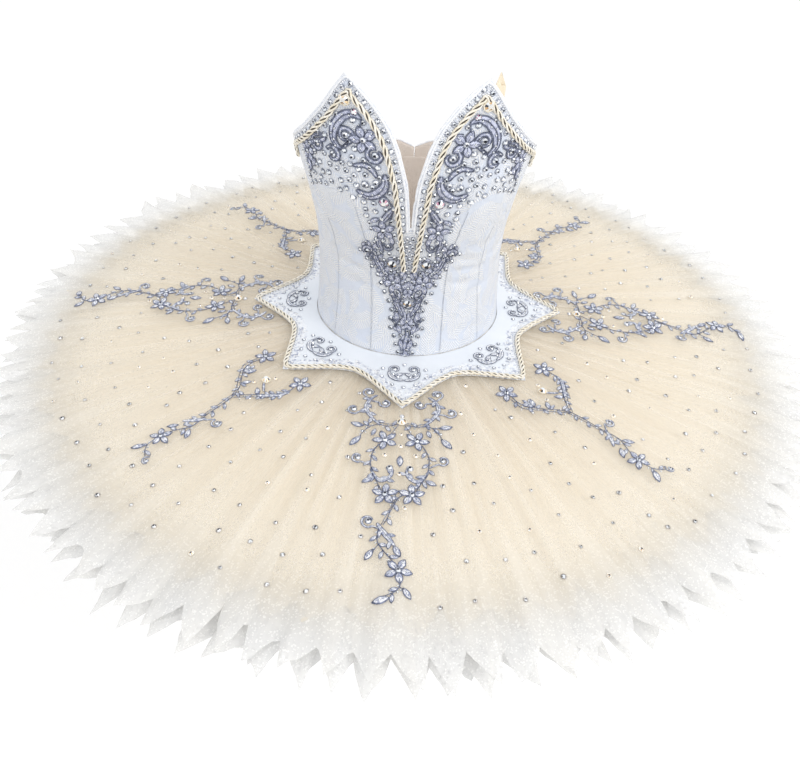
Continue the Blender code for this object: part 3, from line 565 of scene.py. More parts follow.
# %% [markdown]
# Creases in worn cloth are troughs that start from nothing, deepen and die out. Each is a line from
# one place on the body to another, and pushes both faces of the cloth towards the body near it. A
# negative depth makes a ridge. They are placed one by one: most of them lie across the waist, where a
# boned bodice folds, and a few run down from the cups. The wearer's left has more of them. A row of
# a table is the angle and height that a crease runs from, those it runs to, its width and its depth.

# %% Creases, with lengths in millimetres
FADE = 0.7                  # how soon a crease dies out towards its ends
LEAST_RADIUS = 0.02         # nothing nearer to the axis is pushed as a share of its radius


class Crease:
    def __init__(self, angle, height, to_angle, to_height, width, depth):
        self.start = np.array((math.radians(angle) * BODY_REACH, height / 1000))
        self.line = np.array((math.radians(to_angle) * BODY_REACH, to_height / 1000)) - self.start
        self.width, self.depth = width / 1000, depth / 1000

    def at(self, around, height):
        """How deep the crease is at these places."""
        girth = math.tau * BODY_REACH
        x = (around - self.start[0] - self.line[0] / 2 + girth / 2) % girth - girth / 2 + self.line[0] / 2
        y = height - self.start[1]
        share = np.clip((x * self.line[0] + y * self.line[1]) / (self.line @ self.line), 0.0, 1.0)
        away = np.hypot(x - share * self.line[0], y - share * self.line[1])
        return self.depth * np.sin(math.pi * share) ** FADE * np.exp(-(away / self.width) ** 2)


def press(piece, creases):
    spots = points_of(piece)
    depth = sum(Crease(*row).at(angles_of(spots) * BODY_REACH, spots[:, 2]) for row in creases)
    spots[:, :2] *= (1 - depth / np.maximum(np.hypot(spots[:, 0], spots[:, 1]), LEAST_RADIUS))[:, None]
    move_points(piece, spots)


BODICE_CREASES = (
    (24, 26, 52, 14, 5, 2.6), (27, 8, 60, 0, 4.2, 2.2), (25, -8, 49, -16, 4.6, 2.4),
    (34, 40, 56, 35, 5, 1.5), (30, 17, 44, 13, 3, -1.2), (40, -30, 66, -24, 5, 1.8),
    (-25, 22, -48, 30, 5, 1.7), (-28, 2, -56, 8, 4.4, 2.1), (-30, -18, -46, -12, 4.6, 1.5),
    (-52, 18, -74, 6, 5.5, 1.6), (8, 12, 20, 9, 4, 1), (-6, -4, -19, 1, 4, 0.9), (56, 12, 84, 22, 6, 1.9),
    (62, -6, 90, -10, 5, 1.5), (18, 70, 23, 30, 5, 1.3), (-19, 66, -24, 32, 5, 1.1),
    (104, 14, 140, 6, 6, 1.9), (118, -12, 158, -18, 5, 1.6), (-100, 10, -132, 16, 5.5, 1.7),
    (-124, -8, -166, -4, 5, 2), (150, 30, 172, 24, 6, 1.3), (-146, 34, -170, 28, 6, 1.2),
    (44, 132, 62, 86, 7, 1.6), (-46, 128, -60, 90, 6.5, 1.3), (70, 128, 84, 60, 7, 1.4),
    (-72, 120, -82, 66, 7, 1.2),
)
KNICKERS_CREASES = (
    (-70, -150, -40, -225, 8, 2.2), (-62, -130, -28, -205, 7, 1.6), (66, -146, 38, -222, 8, 2),
    (58, -126, 30, -200, 7, 1.7), (-20, -195, 18, -205, 6, 1.2), (112, -150, 146, -225, 8, 2.2),
    (-114, -148, -148, -222, 8, 2.4), (168, -140, 176, -215, 7, 1.8),
)

# %% [markdown]
# ## The bodice
#
# A boned bodice is cut in narrow panels so that flat cloth can follow a body. Each panel here is its
# own piece with its own rounded seam edge, and the hairline between two of them is the seam. The cut
# size of each is printed: the area is measured on the refined mesh, where half of the faces are the
# inner side, and the panel's height gives the length. The inner side is lined in nude.

# %% Bodice panels
PANELS = (
    "centre_front", "side_front_left", "side_front_right", "side_left", "side_right", "back_left",
    "back_right")
BLANK_SHARE = 1.25          # a blank's area, as a share of the panel cut from it
INWARD = -0.35              # a face that looks more towards the axis than this is lining


def half_area(piece):
    """The area of one side of a thin piece."""
    return sum(face.area for face in piece.data.polygons) / 2


def declare_sheet(piece, held, rests_on, length=None):
    """States the cut of a piece as a blank of its own length and the width that gives its area."""
    length = length or float(np.ptp(points_of(piece)[:, 2]))
    area = half_area(piece)
    blank = BLANK_SHARE * area / length
    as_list(rests_on)
    print(piece.name, "cut", round(blank, 3), "x", round(length, 3), "m, area", round(area, 4))


def line_inside(piece):
    """The faces that look towards the body get the lining, the piece's second finish."""
    faces = piece.data.polygons
    normals, middles = np.empty((2, len(faces) * 3))
    faces.foreach_get("normal", normals)
    faces.foreach_get("center", middles)
    normals, middles = normals.reshape(-1, 3)[:, :2], middles.reshape(-1, 3)[:, :2]
    outward = (normals * middles).sum(1) / np.linalg.norm(middles, axis=1)
    faces.foreach_set("material_index", (outward < INWARD).astype(np.int32))


bodice = {}
for panel in PANELS:
    piece = refined(panel, 3)
    press(piece, BODICE_CREASES)
    cloth_map(piece, 180.0 if panel.startswith("back") else 0.0)
    bodice[panel] = store(piece, panel + "_cloth", "brocade", [BROCADE, COUTIL], [panel])
    line_inside(piece)
    declare_sheet(piece, "stretched", [name for name in PANELS if name != panel][:2])

# %% [markdown]
# ## Lining, placket, knickers and straps
#
# These follow the same road. The lining lies half a millimetre inside the bodice, so it is refined
# and pressed with the same creases, and stays that far away. The knickers get creases of their own
# towards the legs.

# %% Inner cloth
STRAP_LENGTH = 0.52
LINING = (COUTIL, "nude_lining", 180.0, "laid")
LYCRA, STRAP = (KNIT, "knickers_lycra"), (ELASTIC, "nude_elastic", 0.0, "folded")
INNER = (
    ("back_lining_left", BODICE_CREASES, *LINING, "back_left"),
    ("back_lining_right", BODICE_CREASES, *LINING, "back_right"),
    ("back_placket", (), *LINING, "back_lining_left"),
    ("knickers_front", KNICKERS_CREASES, *LYCRA, 0.0, "stretched", "knickers_back"),
    ("knickers_back", KNICKERS_CREASES, *LYCRA, 180.0, "stretched", "knickers_front"),
    ("shoulder_strap_left", (), *STRAP, "side_front_left"),
    ("shoulder_strap_right", (), *STRAP, "side_front_right"),
)
for node, creases, finish, slot, middle, held, rests_on in INNER:
    strap = held == "folded"
    piece = refined(node, 1 if strap else 2, 0.0003)
    if creases:
        press(piece, creases)
    cloth_map(piece, middle)
    store(piece, node + "_cloth", slot, [finish], [node])
    declare_sheet(piece, held, [rests_on], STRAP_LENGTH if strap else None)

# %% [markdown]
# ## Six rings of net
#
# A flat tutu stands out because its net is stiff, gathered hard at the hip and pulled through with
# tacking threads. Seen from above it is a disc with hundreds of fine radial creases and a rim cut
# into points, each a little bent. Real net would be a gathered strip. Here a ring is quicker: a
# circle of edges is extruded outwards ring by ring, with four columns of points for every point and
# notch that the node's rim has. The rings are then moved into place. Between the node's own three
# rings they follow its pleats, and on top of that come slow waves, fine creases and bent tips.

# %% Reading a net's own rings
COLUMNS = 4                 # from one point or notch of the rim to the next
RIM_START = 0.84            # share of the way out where the points begin to form
SHEER = 0.0004              # thickness of the net
LEAN = 1.3                  # degrees that a point may lean sideways
RAGGED = 0.0016             # unevenness of the cut edge
CREASES, FLUTTERS = 150, 90     # fine creases from hip to rim, and at the rim alone
CREASE_WIDTHS = (0.7, 2.2)  # degrees
CREASE_AT_HIP, CREASE_GROWTH = 0.0004, 0.0012   # height of a fine crease, and what it gains to the rim
FLUTTER_HEIGHT, BEND_HEIGHT = 0.0020, 0.0035    # at the rim
SLOW_WAVES = ((3, 1.0, 0.0030), (7, 2.0, 0.0018))   # waves a turn, start and height


class Net:
    def __init__(self, name, pleats, finish, slot, seed, hang):
        self.name, self.finish, self.slot, self.hang = name, finish, slot, hang
        self.random = np.random.default_rng(seed)
        spots = np.unique(np.round(points_of(NODES[name]), 6), axis=0)
        spots = spots[np.argsort(np.hypot(spots[:, 0], spots[:, 1]))]
        self.rings = [self.upper(group) for group in np.split(spots, (2 * pleats, 6 * pleats))]

    def upper(self, group):
        """Angle, radius and height of the upper point of each pair, by angle."""
        angle = (np.degrees(angles_of(group)) + 0.2) % 360 - 0.2
        ring = np.column_stack((angle, np.hypot(group[:, 0], group[:, 1]), group[:, 2]))[np.argsort(angle)]
        pairs = ring.reshape(-1, 2, 3)
        return pairs[np.arange(len(pairs)), pairs[:, :, 2].argmax(axis=1)]

    def spread(self, column, count):
        """A column of each ring's table drawn out to one value for each of count places round the skirt."""
        found = []
        for ring in self.rings:
            values = np.append(ring[:, column], ring[0, column] + (360.0 if column == 0 else 0.0))
            drawn = np.interp(np.arange(count) * len(ring) / count, np.arange(len(ring) + 1), values)
            if column == 2:
                soft = np.hanning(count // len(ring) + 3)
                drawn = np.convolve(np.tile(drawn, 3), soft / soft.sum(), "same")[count:2 * count]
            found.append(drawn)
        return found

    def fine_creases(self, angles, count):
        """Narrow troughs and ridges at uneven angles, from -1 to 1 at each of the angles."""
        total = np.zeros_like(angles)
        draws = [self.random.uniform(*limits, count) for limits in ((0, 360), CREASE_WIDTHS, (-1, 1))]
        for middle, width, size in zip(*draws):
            away = (angles - middle + 180) % 360 - 180
            total += size * np.exp(-(away / width) ** 2)
        return np.clip(total, -1.6, 1.6)


def shape_net(layer, shares):
    """Places for each ring (rows) and column of a layer."""
    rim = layer.rings[2]
    count, teeth = COLUMNS * len(rim), len(rim) // 2
    angle, radius, height = (layer.spread(column, count) for column in range(3))
    mean_rim = rim[:, 1].mean()

    def each_tooth(values):
        return np.repeat(values, 2 * COLUMNS)

    notch, tip = each_tooth(rim[0::2, 1]), each_tooth(rim[1::2, 1])
    rise = np.clip((radius[2] - notch) / np.maximum(tip - notch, 1e-4), 0.0, 1.0)
    outline = notch + (tip - notch) * rise ** each_tooth(layer.random.uniform(0.75, 1.35, teeth))
    bend = each_tooth(layer.random.normal(0.0, 1.0, teeth)) * rise
    lean = each_tooth(layer.random.uniform(-1.0, 1.0, teeth)) * rise * LEAN
    outline = outline + layer.random.normal(0.0, RAGGED, count)
    creases, flutter = layer.fine_creases(angle[2], CREASES), layer.fine_creases(angle[2], FLUTTERS)
    slope = (height[1] - height[0]) / (radius[1] - radius[0])
    run = mean_rim - radius[1]
    rows = []
    for share in shares:
        reach = radius[0] + (mean_rim - radius[0]) * share
        inner = np.clip((reach - radius[0]) / (radius[1].mean() - radius[0]), 0.0, 1.0)
        outer = np.clip((reach - radius[1]) / run, 0.0, 1.0)
        turn = angle[0] + (angle[1] - angle[0]) * inner + (angle[2] - angle[1]) * outer
        z = height[0] + (height[1] - height[0]) * inner
        z = z + slope * run * outer + (height[2] - height[1] - slope * run) * outer ** 2
        at_rim = max(0.0, (share - RIM_START) / (1 - RIM_START))
        reach = reach + (outline - mean_rim) * at_rim ** 1.3
        turned = np.radians(turn + lean * at_rim)
        z = z + sum(size * np.sin(waves * turned + start) for waves, start, size in SLOW_WAVES) * share ** 2
        z = z + creases * (CREASE_AT_HIP + CREASE_GROWTH * share) * min(1.0, share / 0.12)
        z = z + flutter * FLUTTER_HEIGHT * at_rim + bend * (BEND_HEIGHT * at_rim ** 2)
        z = z - layer.hang * at_rim ** 2
        rows.append(np.column_stack((reach * np.sin(turned), -reach * np.cos(turned), z - SHEER)))
    return rows

# %% [markdown]
# The extruding itself is plain: a circle one metre in radius, with the next ring two metres out, and
# so on. Each point then tells its ring by its distance and its column by its angle.

# %% Extruding and shaping the nets
def ring_mesh(name, place):
    """A ring-shaped sheet of four-sided faces, extruded from a circle and moved to its rows of places."""
    columns = len(place[0])
    bpy.ops.mesh.primitive_circle_add(vertices=columns, radius=1.0)
    piece = added()
    piece.name = name
    with editing(piece):
        for ring in range(1, len(place)):
            bpy.ops.mesh.extrude_region_move()
            size = (ring + 1) / ring
            bpy.ops.transform.resize(value=(size, size, 1), center_override=(0, 0, 0))
    flat = points_of(piece)
    ring = np.round(np.hypot(flat[:, 0], flat[:, 1])).astype(int) - 1
    turn = angles_of(flat) / math.tau * columns
    column = np.round(turn - turn[0] + round(turn[0])).astype(int) % columns
    move_points(piece, np.array(place)[ring, column])
    face_outwards(piece)
    return piece


NETS = (
    Net("net_top", 48, GLITTER_NET, "net_glitter", 11, 0.000),
    Net("net_cream", 32, CREAM_NET, "net_cream", 12, 0.001),
    Net("net_white_1", 48, WHITE_NET, "net_white", 13, 0.002),
    Net("net_white_2", 32, PLAIN_NET, "net_white", 14, 0.003),
    Net("net_white_3", 20, PLAIN_NET, "net_white", 15, 0.003),
    Net("net_white_4", 16, PLAIN_NET, "net_white", 16, 0.003),
)
SHARES = np.concatenate((np.linspace(0.0, 0.82, 13)[:-1], np.linspace(0.82, 1.0, 12)))
skirt = {}
for layer in NETS:
    piece = ring_mesh(layer.name, shape_net(layer, SHARES))
    apply(piece, "SOLIDIFY", thickness=SHEER, offset=0.0)
    skirt[layer.name] = store(piece, layer.name + "_cloth", layer.slot, [layer.finish], [layer.name])
    width, area = 2 * float(np.abs(points_of(piece)[:, :2]).max()), half_area(piece)
    print(layer.name, "ring", round(width, 3), "m across, area", round(area, 3))

# %% [markdown]
# ## Where things lie
#
# Everything from here on is sewn on top of cloth, so it needs to know where the cloth is. A search
# tree over the refined panels answers with a ray: from outside towards the body's axis for the
# bodice, and straight down for the skirt. The bodice's angles are those of an oval, which is wider
# than deep, so the same table of widths and depths turns an angle into a direction.

# %% Finding the cloth
HEIGHTS = (-0.100, -0.020, 0.040, 0.080, 0.120, 0.160, 0.200, 0.240)
WIDTHS = (0.1215, 0.1162, 0.1185, 0.1265, 0.1355, 0.1425, 0.1475, 0.1510)
FRONTS = (0.116, 0.098, 0.104, 0.114, 0.121, 0.123, 0.118, 0.112)
BACKS = (0.112, 0.090, 0.088, 0.088, 0.088, 0.086, 0.084, 0.082)
FAR = 0.4                   # a ray starts this far from the axis


def tree_of(pieces):
    points, faces = [], []
    for piece in pieces:
        start = len(points)
        points += [vertex.co.copy() for vertex in piece.data.vertices]
        faces += [[start + i for i in face.vertices] for face in piece.data.polygons]
    return BVHTree.FromPolygons(points, faces)


BODICE_TREE = tree_of(bodice.values())
NET_TREE = tree_of([skirt["net_top"]])
PLATE_NODE = tree_of([NODES["plate"]])


def on_bodice(around, height, lift=0.0):
    """A point above the bodice, and the way out from it. around is the way from centre front, in metres."""
    turn = around / BODY_REACH
    depths = FRONTS if math.cos(turn) > 0 else BACKS
    width, depth = (float(np.interp(height, HEIGHTS, table)) for table in (WIDTHS, depths))
    aim = Vector((width * math.sin(turn), -depth * math.cos(turn), 0.0))
    start = aim.normalized() * FAR + Vector((0, 0, height))
    spot, normal, _, _ = BODICE_TREE.ray_cast(start, -aim.normalized(), FAR)
    if spot is None:
        spot, normal, _, _ = BODICE_TREE.find_nearest(aim + Vector((0, 0, height)))
        normal = aim.normalized()
    return spot + normal * lift, normal


def under(tree, x, y, top, low):
    """The surface's spot and upward normal below a height, or else at its place nearest to a lower one."""
    spot, normal, _, _ = tree.ray_cast(Vector((x, y, top)), Vector((0, 0, -1)))
    if spot is None:
        spot, normal, _, _ = tree.find_nearest(Vector((x, y, low)))
    return spot, (normal if normal.z > 0 else -normal)


def on_net(x, y):
    return under(NET_TREE, x, y, 0.2, -0.13)

# %% [markdown]
# ## Cords and curves
#
# Almost all of the embroidery is cord: laid along stems, curled into scrolls, wound round a core.
# A curve with a bevel is the natural tool, because its points can also carry a radius, so that a
# stem tapers. Many lines go into one curve object, which becomes a mesh once. `flowing` draws a
# smooth line through a few given points, and `along_path` walks it in even steps.

# %% Drawing cords
def flowing(points, steps):
    """A smooth line through points, in any number of dimensions (Catmull-Rom)."""
    spots = [np.array(point, float) for point in points]
    last = len(spots) - 1
    found = []
    for i in range(last):
        a, b, c, d = (spots[min(max(i + k, 0), last)] for k in (-1, 0, 1, 2))
        square, cube = 2 * a - 5 * b + 4 * c - d, 3 * b - a - 3 * c + d
        found += [0.5 * (2 * b + (c - a) * t + square * t**2 + cube * t**3) for t in np.arange(steps) / steps]
    return found + [spots[-1]]


def cords(name, lines, radius, finish, sides=6, closed=False):
    """One mesh of round cords. A line is a list of points, each with an optional share of the radius."""
    bpy.ops.curve.primitive_bezier_curve_add()
    piece = added(finish)
    piece.name = name
    piece.data.splines.clear()
    piece.data.bevel_depth, piece.data.bevel_resolution = radius, (sides - 4) // 2
    piece.data.use_fill_caps = not closed
    for line in lines:
        spline = piece.data.splines.new("POLY")
        spline.points.add(len(line) - 1)
        for spot, point in zip(spline.points, line):
            spot.co = (*point[:3], 1.0)
            spot.radius = point[3] if len(point) > 3 else 1.0
        spline.use_cyclic_u = closed
    pick(piece)
    bpy.ops.object.convert(target="MESH")
    with editing(piece):
        bpy.ops.mesh.remove_doubles(threshold=1e-6)
    return piece


def along_path(points, step, closed=False):
    """Places a step apart along (spot, normal) pairs: spots, normals, the whole length, distances."""
    spots = np.array([spot for spot, _ in points] + ([points[0][0]] if closed else []))
    ups = np.array([up for _, up in points] + ([points[0][1]] if closed else []))
    length = np.concatenate(([0.0], np.cumsum(np.linalg.norm(np.diff(spots, axis=0), axis=1))))
    count = max(2, round(length[-1] / step))
    places = np.linspace(0.0, length[-1], count + 1)[: count if closed else None]
    even = np.column_stack([np.interp(places, length, spots[:, i]) for i in range(3)])
    normals = np.column_stack([np.interp(places, length, ups[:, i]) for i in range(3)])
    return even, normals / np.linalg.norm(normals, axis=1)[:, None], length[-1], places

# %% [markdown]
# The two seams beside the centre front and the two at the sides are pressed open. A thin grey cord
# beside each is painted seam shadow, and that is what makes them show on white cloth. At each height
# the seam is where one panel's outer face ends.

# %% Seam shade lines
SEAM_FROM, SEAM_ROWS = -0.097, 30
SEAM_RADIUS = 0.00036
SEAM_CLEAR = 0.0010         # from the seam to the painted shade line beside it
SEAM_NEAR = 0.004           # the panel's points this near to a height are looked at

# Each seam's panel, the side it is on, its upper end, and how thick its painted shade line is.
SEAMS = (
    ("centre_front", 1, 0.095, 1.0), ("centre_front", -1, 0.095, 1.0),
    ("side_front_left", 1, 0.060, 0.5), ("side_front_right", -1, 0.060, 0.5),
)
seams = []
for panel, hand, top, share in SEAMS:
    spots = points_of(bodice[panel])
    around = angles_of(spots) * hand
    line = []
    for height in np.linspace(SEAM_FROM, top, SEAM_ROWS):
        near = np.abs(spots[:, 2] - height) < SEAM_NEAR
        edge_spot = spots[near][np.argmax(around[near])]
        way = Vector((edge_spot[0], edge_spot[1], 0.0)).normalized()
        start = way * FAR + Vector((0, 0, height)) + Vector((-way.y, way.x, 0)) * SEAM_CLEAR * hand
        spot, normal, _, _ = BODICE_TREE.ray_cast(start, -way, FAR)
        if spot is not None:
            line.append((*(spot + normal * SEAM_RADIUS * 0.3), share))
    seams.append(line)
# A thin grey cord beside each seam, as painted seam shadow.
store(cords("seams", seams, SEAM_RADIUS, SEAM_SHADE_LINE), "seam_stitches", "brocade")

# %% [markdown]
# ## One stone, one petal, one leaf
#
# Each small thing is modelled once, at a size of one metre, and then copied at its own size. The
# stone in its setting is a ring with a cut cone in it. It has pale facets and a dark table, which are
# painted glints and a painted dark reflection. On the large jewels the facets are of several tones
# that take turns, with painted glints and painted dark reflections among them. A spangle is a low
# cup whose sides are painted bright and dark, as glints and reflections.
# Padded satin shapes start as a flat face whose outline is pushed into the shape. An inset and a lift
# make the padding, a cord runs round the edge, a thinner one is the vein, and a spangle sits on top.
# Five such petals round a stone make a flower. The star has narrower ones, for the sprays.

# %% Masters
CUT_TURN = 0.3              # a stone's facets are turned by this much from its setting
LEAF_SIDES = 12
LEAF_TAPER = 1.25           # how much a leaf is drawn out to its points


def cut_stone(name, facets, table, setting, sides=8, size=0.80):
    """A round stone in a setting, one metre in radius, standing on the ground. Its facets take turns."""
    finishes = [*dict.fromkeys((*facets, table))]
    bpy.ops.mesh.primitive_cone_add(
        vertices=sides, radius1=size, radius2=size * 0.45, depth=0.5, location=(0, 0, 0.38))
    cut = added(*finishes)
    around = 0
    for face in cut.data.polygons:
        if face.normal.z > 0.9:
            face.material_index = finishes.index(table)
        elif face.normal.z > -0.9:
            face.material_index = finishes.index(facets[around % len(facets)])
            around += 1
    with editing(cut):
        bpy.ops.transform.rotate(value=CUT_TURN, orient_axis="Z", center_override=(0, 0, 0))
    bpy.ops.mesh.primitive_torus_add(
        major_segments=8, minor_segments=4, major_radius=0.84, minor_radius=0.16, location=(0, 0, 0.15))
    ring = added(setting)
    for part in (cut, ring):
        bake_place(part)
    return join(name, [cut, ring])


def spangle_master():
    """A cupped spangle, one metre in radius, with sides painted bright and dark as glints and reflections."""
    bpy.ops.mesh.primitive_cone_add(vertices=6, radius1=1.0, radius2=0.5, depth=0.5, location=(0, 0, 0.25))
    piece = added(CLEAR, SILVER, PAINTED_DARK_MIRROR)
    tones = iter((0, 1, 0, 2, 0, 1))
    for face in piece.data.polygons:
        face.material_index = 0 if abs(face.normal.z) > 0.9 else next(tones)
    bake_place(piece)
    return join("spangle", [piece])


def padded_shape(name, length, width, start, height, edge, spangle_at):
    """A leaf along x, pointed at both ends, padded, with a cord round it, a vein and a spangle on it."""
    outline = []
    for i in range(LEAF_SIDES):
        turn = math.tau * i / LEAF_SIDES
        rise = math.sin(turn)
        x = start + length * (0.5 + 0.5 * math.cos(turn))
        outline.append((x, width / 2 * rise * abs(rise) ** LEAF_TAPER))
    bpy.ops.mesh.primitive_circle_add(vertices=len(outline), radius=1.0, fill_type="NGON")
    piece = added(PADDED_THREAD)
    move_points(piece, [(x, y, 0.0) for x, y in outline])
    with editing(piece):
        bpy.ops.mesh.extrude_region_move(TRANSFORM_OT_translate={"value": (0, 0, height * 0.55)})
        bpy.ops.mesh.inset(thickness=height * 0.9)
        bpy.ops.transform.translate(value=(0, 0, height * 0.45))
        bpy.ops.mesh.poke()
    face_outwards(piece)
    border = cords(name + "_edge", [[(x, y, edge) for x, y in outline]], edge, CORD_THREAD, 4, closed=True)
    near, far = min(x for x, _ in outline), max(x for x, _ in outline)
    vein_line = [(near + (far - near) * share, 0.0, height * 0.9) for share in (0.12, 0.45, 0.80)]
    vein = cords(name + "_vein", [vein_line], edge * 0.6, CORD_THREAD, 4)
    place = Matrix.Translation((spangle_at, 0, height - 0.01)) @ Matrix.Scale(0.10, 4)
    return join(name, [piece, border, vein, copied(SPANGLE, place)])


def flower_master(width):
    """Five pointed petals round a stone, one metre in radius."""
    petal = padded_shape("petal", 0.90, width, 0.12, 0.14, 0.055, 0.62)
    petals = [copied(petal, Matrix.Rotation(math.tau * i / 5, 4, "Z")) for i in range(5)]
    bpy.data.objects.remove(petal)
    eye = copied(STONES["clear"], Matrix.Scale(0.25, 4) @ Matrix.Translation((0, 0, 0.3)))
    return join("flower", petals + [eye])


STONES = {
    "clear": cut_stone("clear_stud", (CLEAR, CLEAR, CLEAR, SILVER), PAINTED_DARK_MIRROR, SILVER),
    "pale": cut_stone("pale_stud", (CLEAR, CLEAR, SILVER), CLEAR, SILVER),
    "gold": cut_stone("gold_stud", (GOLD, CLEAR, CLEAR), PAINTED_DARK_MIRROR, CREAM_SILK),
    "jewel": cut_stone("jewel", (CLEAR, PAINTED_DARK_MIRROR, CLEAR, CLEAR, GOLD), PAINTED_DARK_MIRROR, SILVER, 10, 0.86),
    "blush": cut_stone("blush_jewel", (PINK, CLEAR, PAINTED_DARK_MIRROR, PINK, CLEAR), CLEAR, SILVER, 10, 0.86),
    "amber": cut_stone("amber_jewel", (GOLD, CLEAR, GOLD, CLEAR, PAINTED_DARK_MIRROR), CLEAR, GOLD_THREAD, 10, 0.86),
}
SPANGLE = spangle_master()
FLOWER, STAR = flower_master(0.58), flower_master(0.50)
LEAF = padded_shape("leaf", 1.0, 0.42, -0.5, 0.12, 0.050, 0.05)
MASTERS = [*STONES.values(), SPANGLE, FLOWER, STAR, LEAF]
print({master.name: len(master.data.polygons) for master in MASTERS})

# %% [markdown]
# ## Drawing flat, then laying on the cloth
#
# An embroiderer works a spray flat on a frame and sews it on afterwards. `Design` does the same: it
# collects stems, scrolls, leaves, flowers and stones in a plane, where x runs along the spray and y
# across it. A design is written in millimetres: a cord or a band as a row of x, y, x, y, and each
# other thing as its place and size. What is drawn inside `both` is drawn twice, mirrored the second
# time. Spangles are sewn along every cord and band, and on a spray small leaflets grow from the
# heavier ones. `done` joins it all, and `lay` copies it onto the cloth point by point.

# %% Flat designs
CORD_WIDTH = 0.0011         # radius of a laid cord
CORD_LIFT = 0.8             # height of its middle, in radii
OUTLINE_WIDTH = 0.00085     # radius of the cord along a satin band
BAND_THIN, BAND_LIFT = 0.0008, 0.0012
FLAT = 0.26                 # height of a satin band, as a share of its width
VEINED, LEAFY = 0.0028, 0.0034  # bands wider than this carry a vein, or leaflets
HEAVY = 0.8                 # cords that start heavier than this carry leaflets too
CURL_IN, CURL_EYE = 0.42, 0.50  # how far a scroll winds in, and its stone, as shares of its size
SPANGLE_SIZE, SPANGLE_STEP, SPANGLE_TURN = 0.00125, 0.0062, 77
SPRIG_STEP = 0.0088
SPRIG_TURN = 48.0           # degrees between a leaflet and its cord
SPRIG_REACH = 0.42          # from the cord to a leaflet's middle, as a share of its length
JEWEL_LIFT = 0.0008


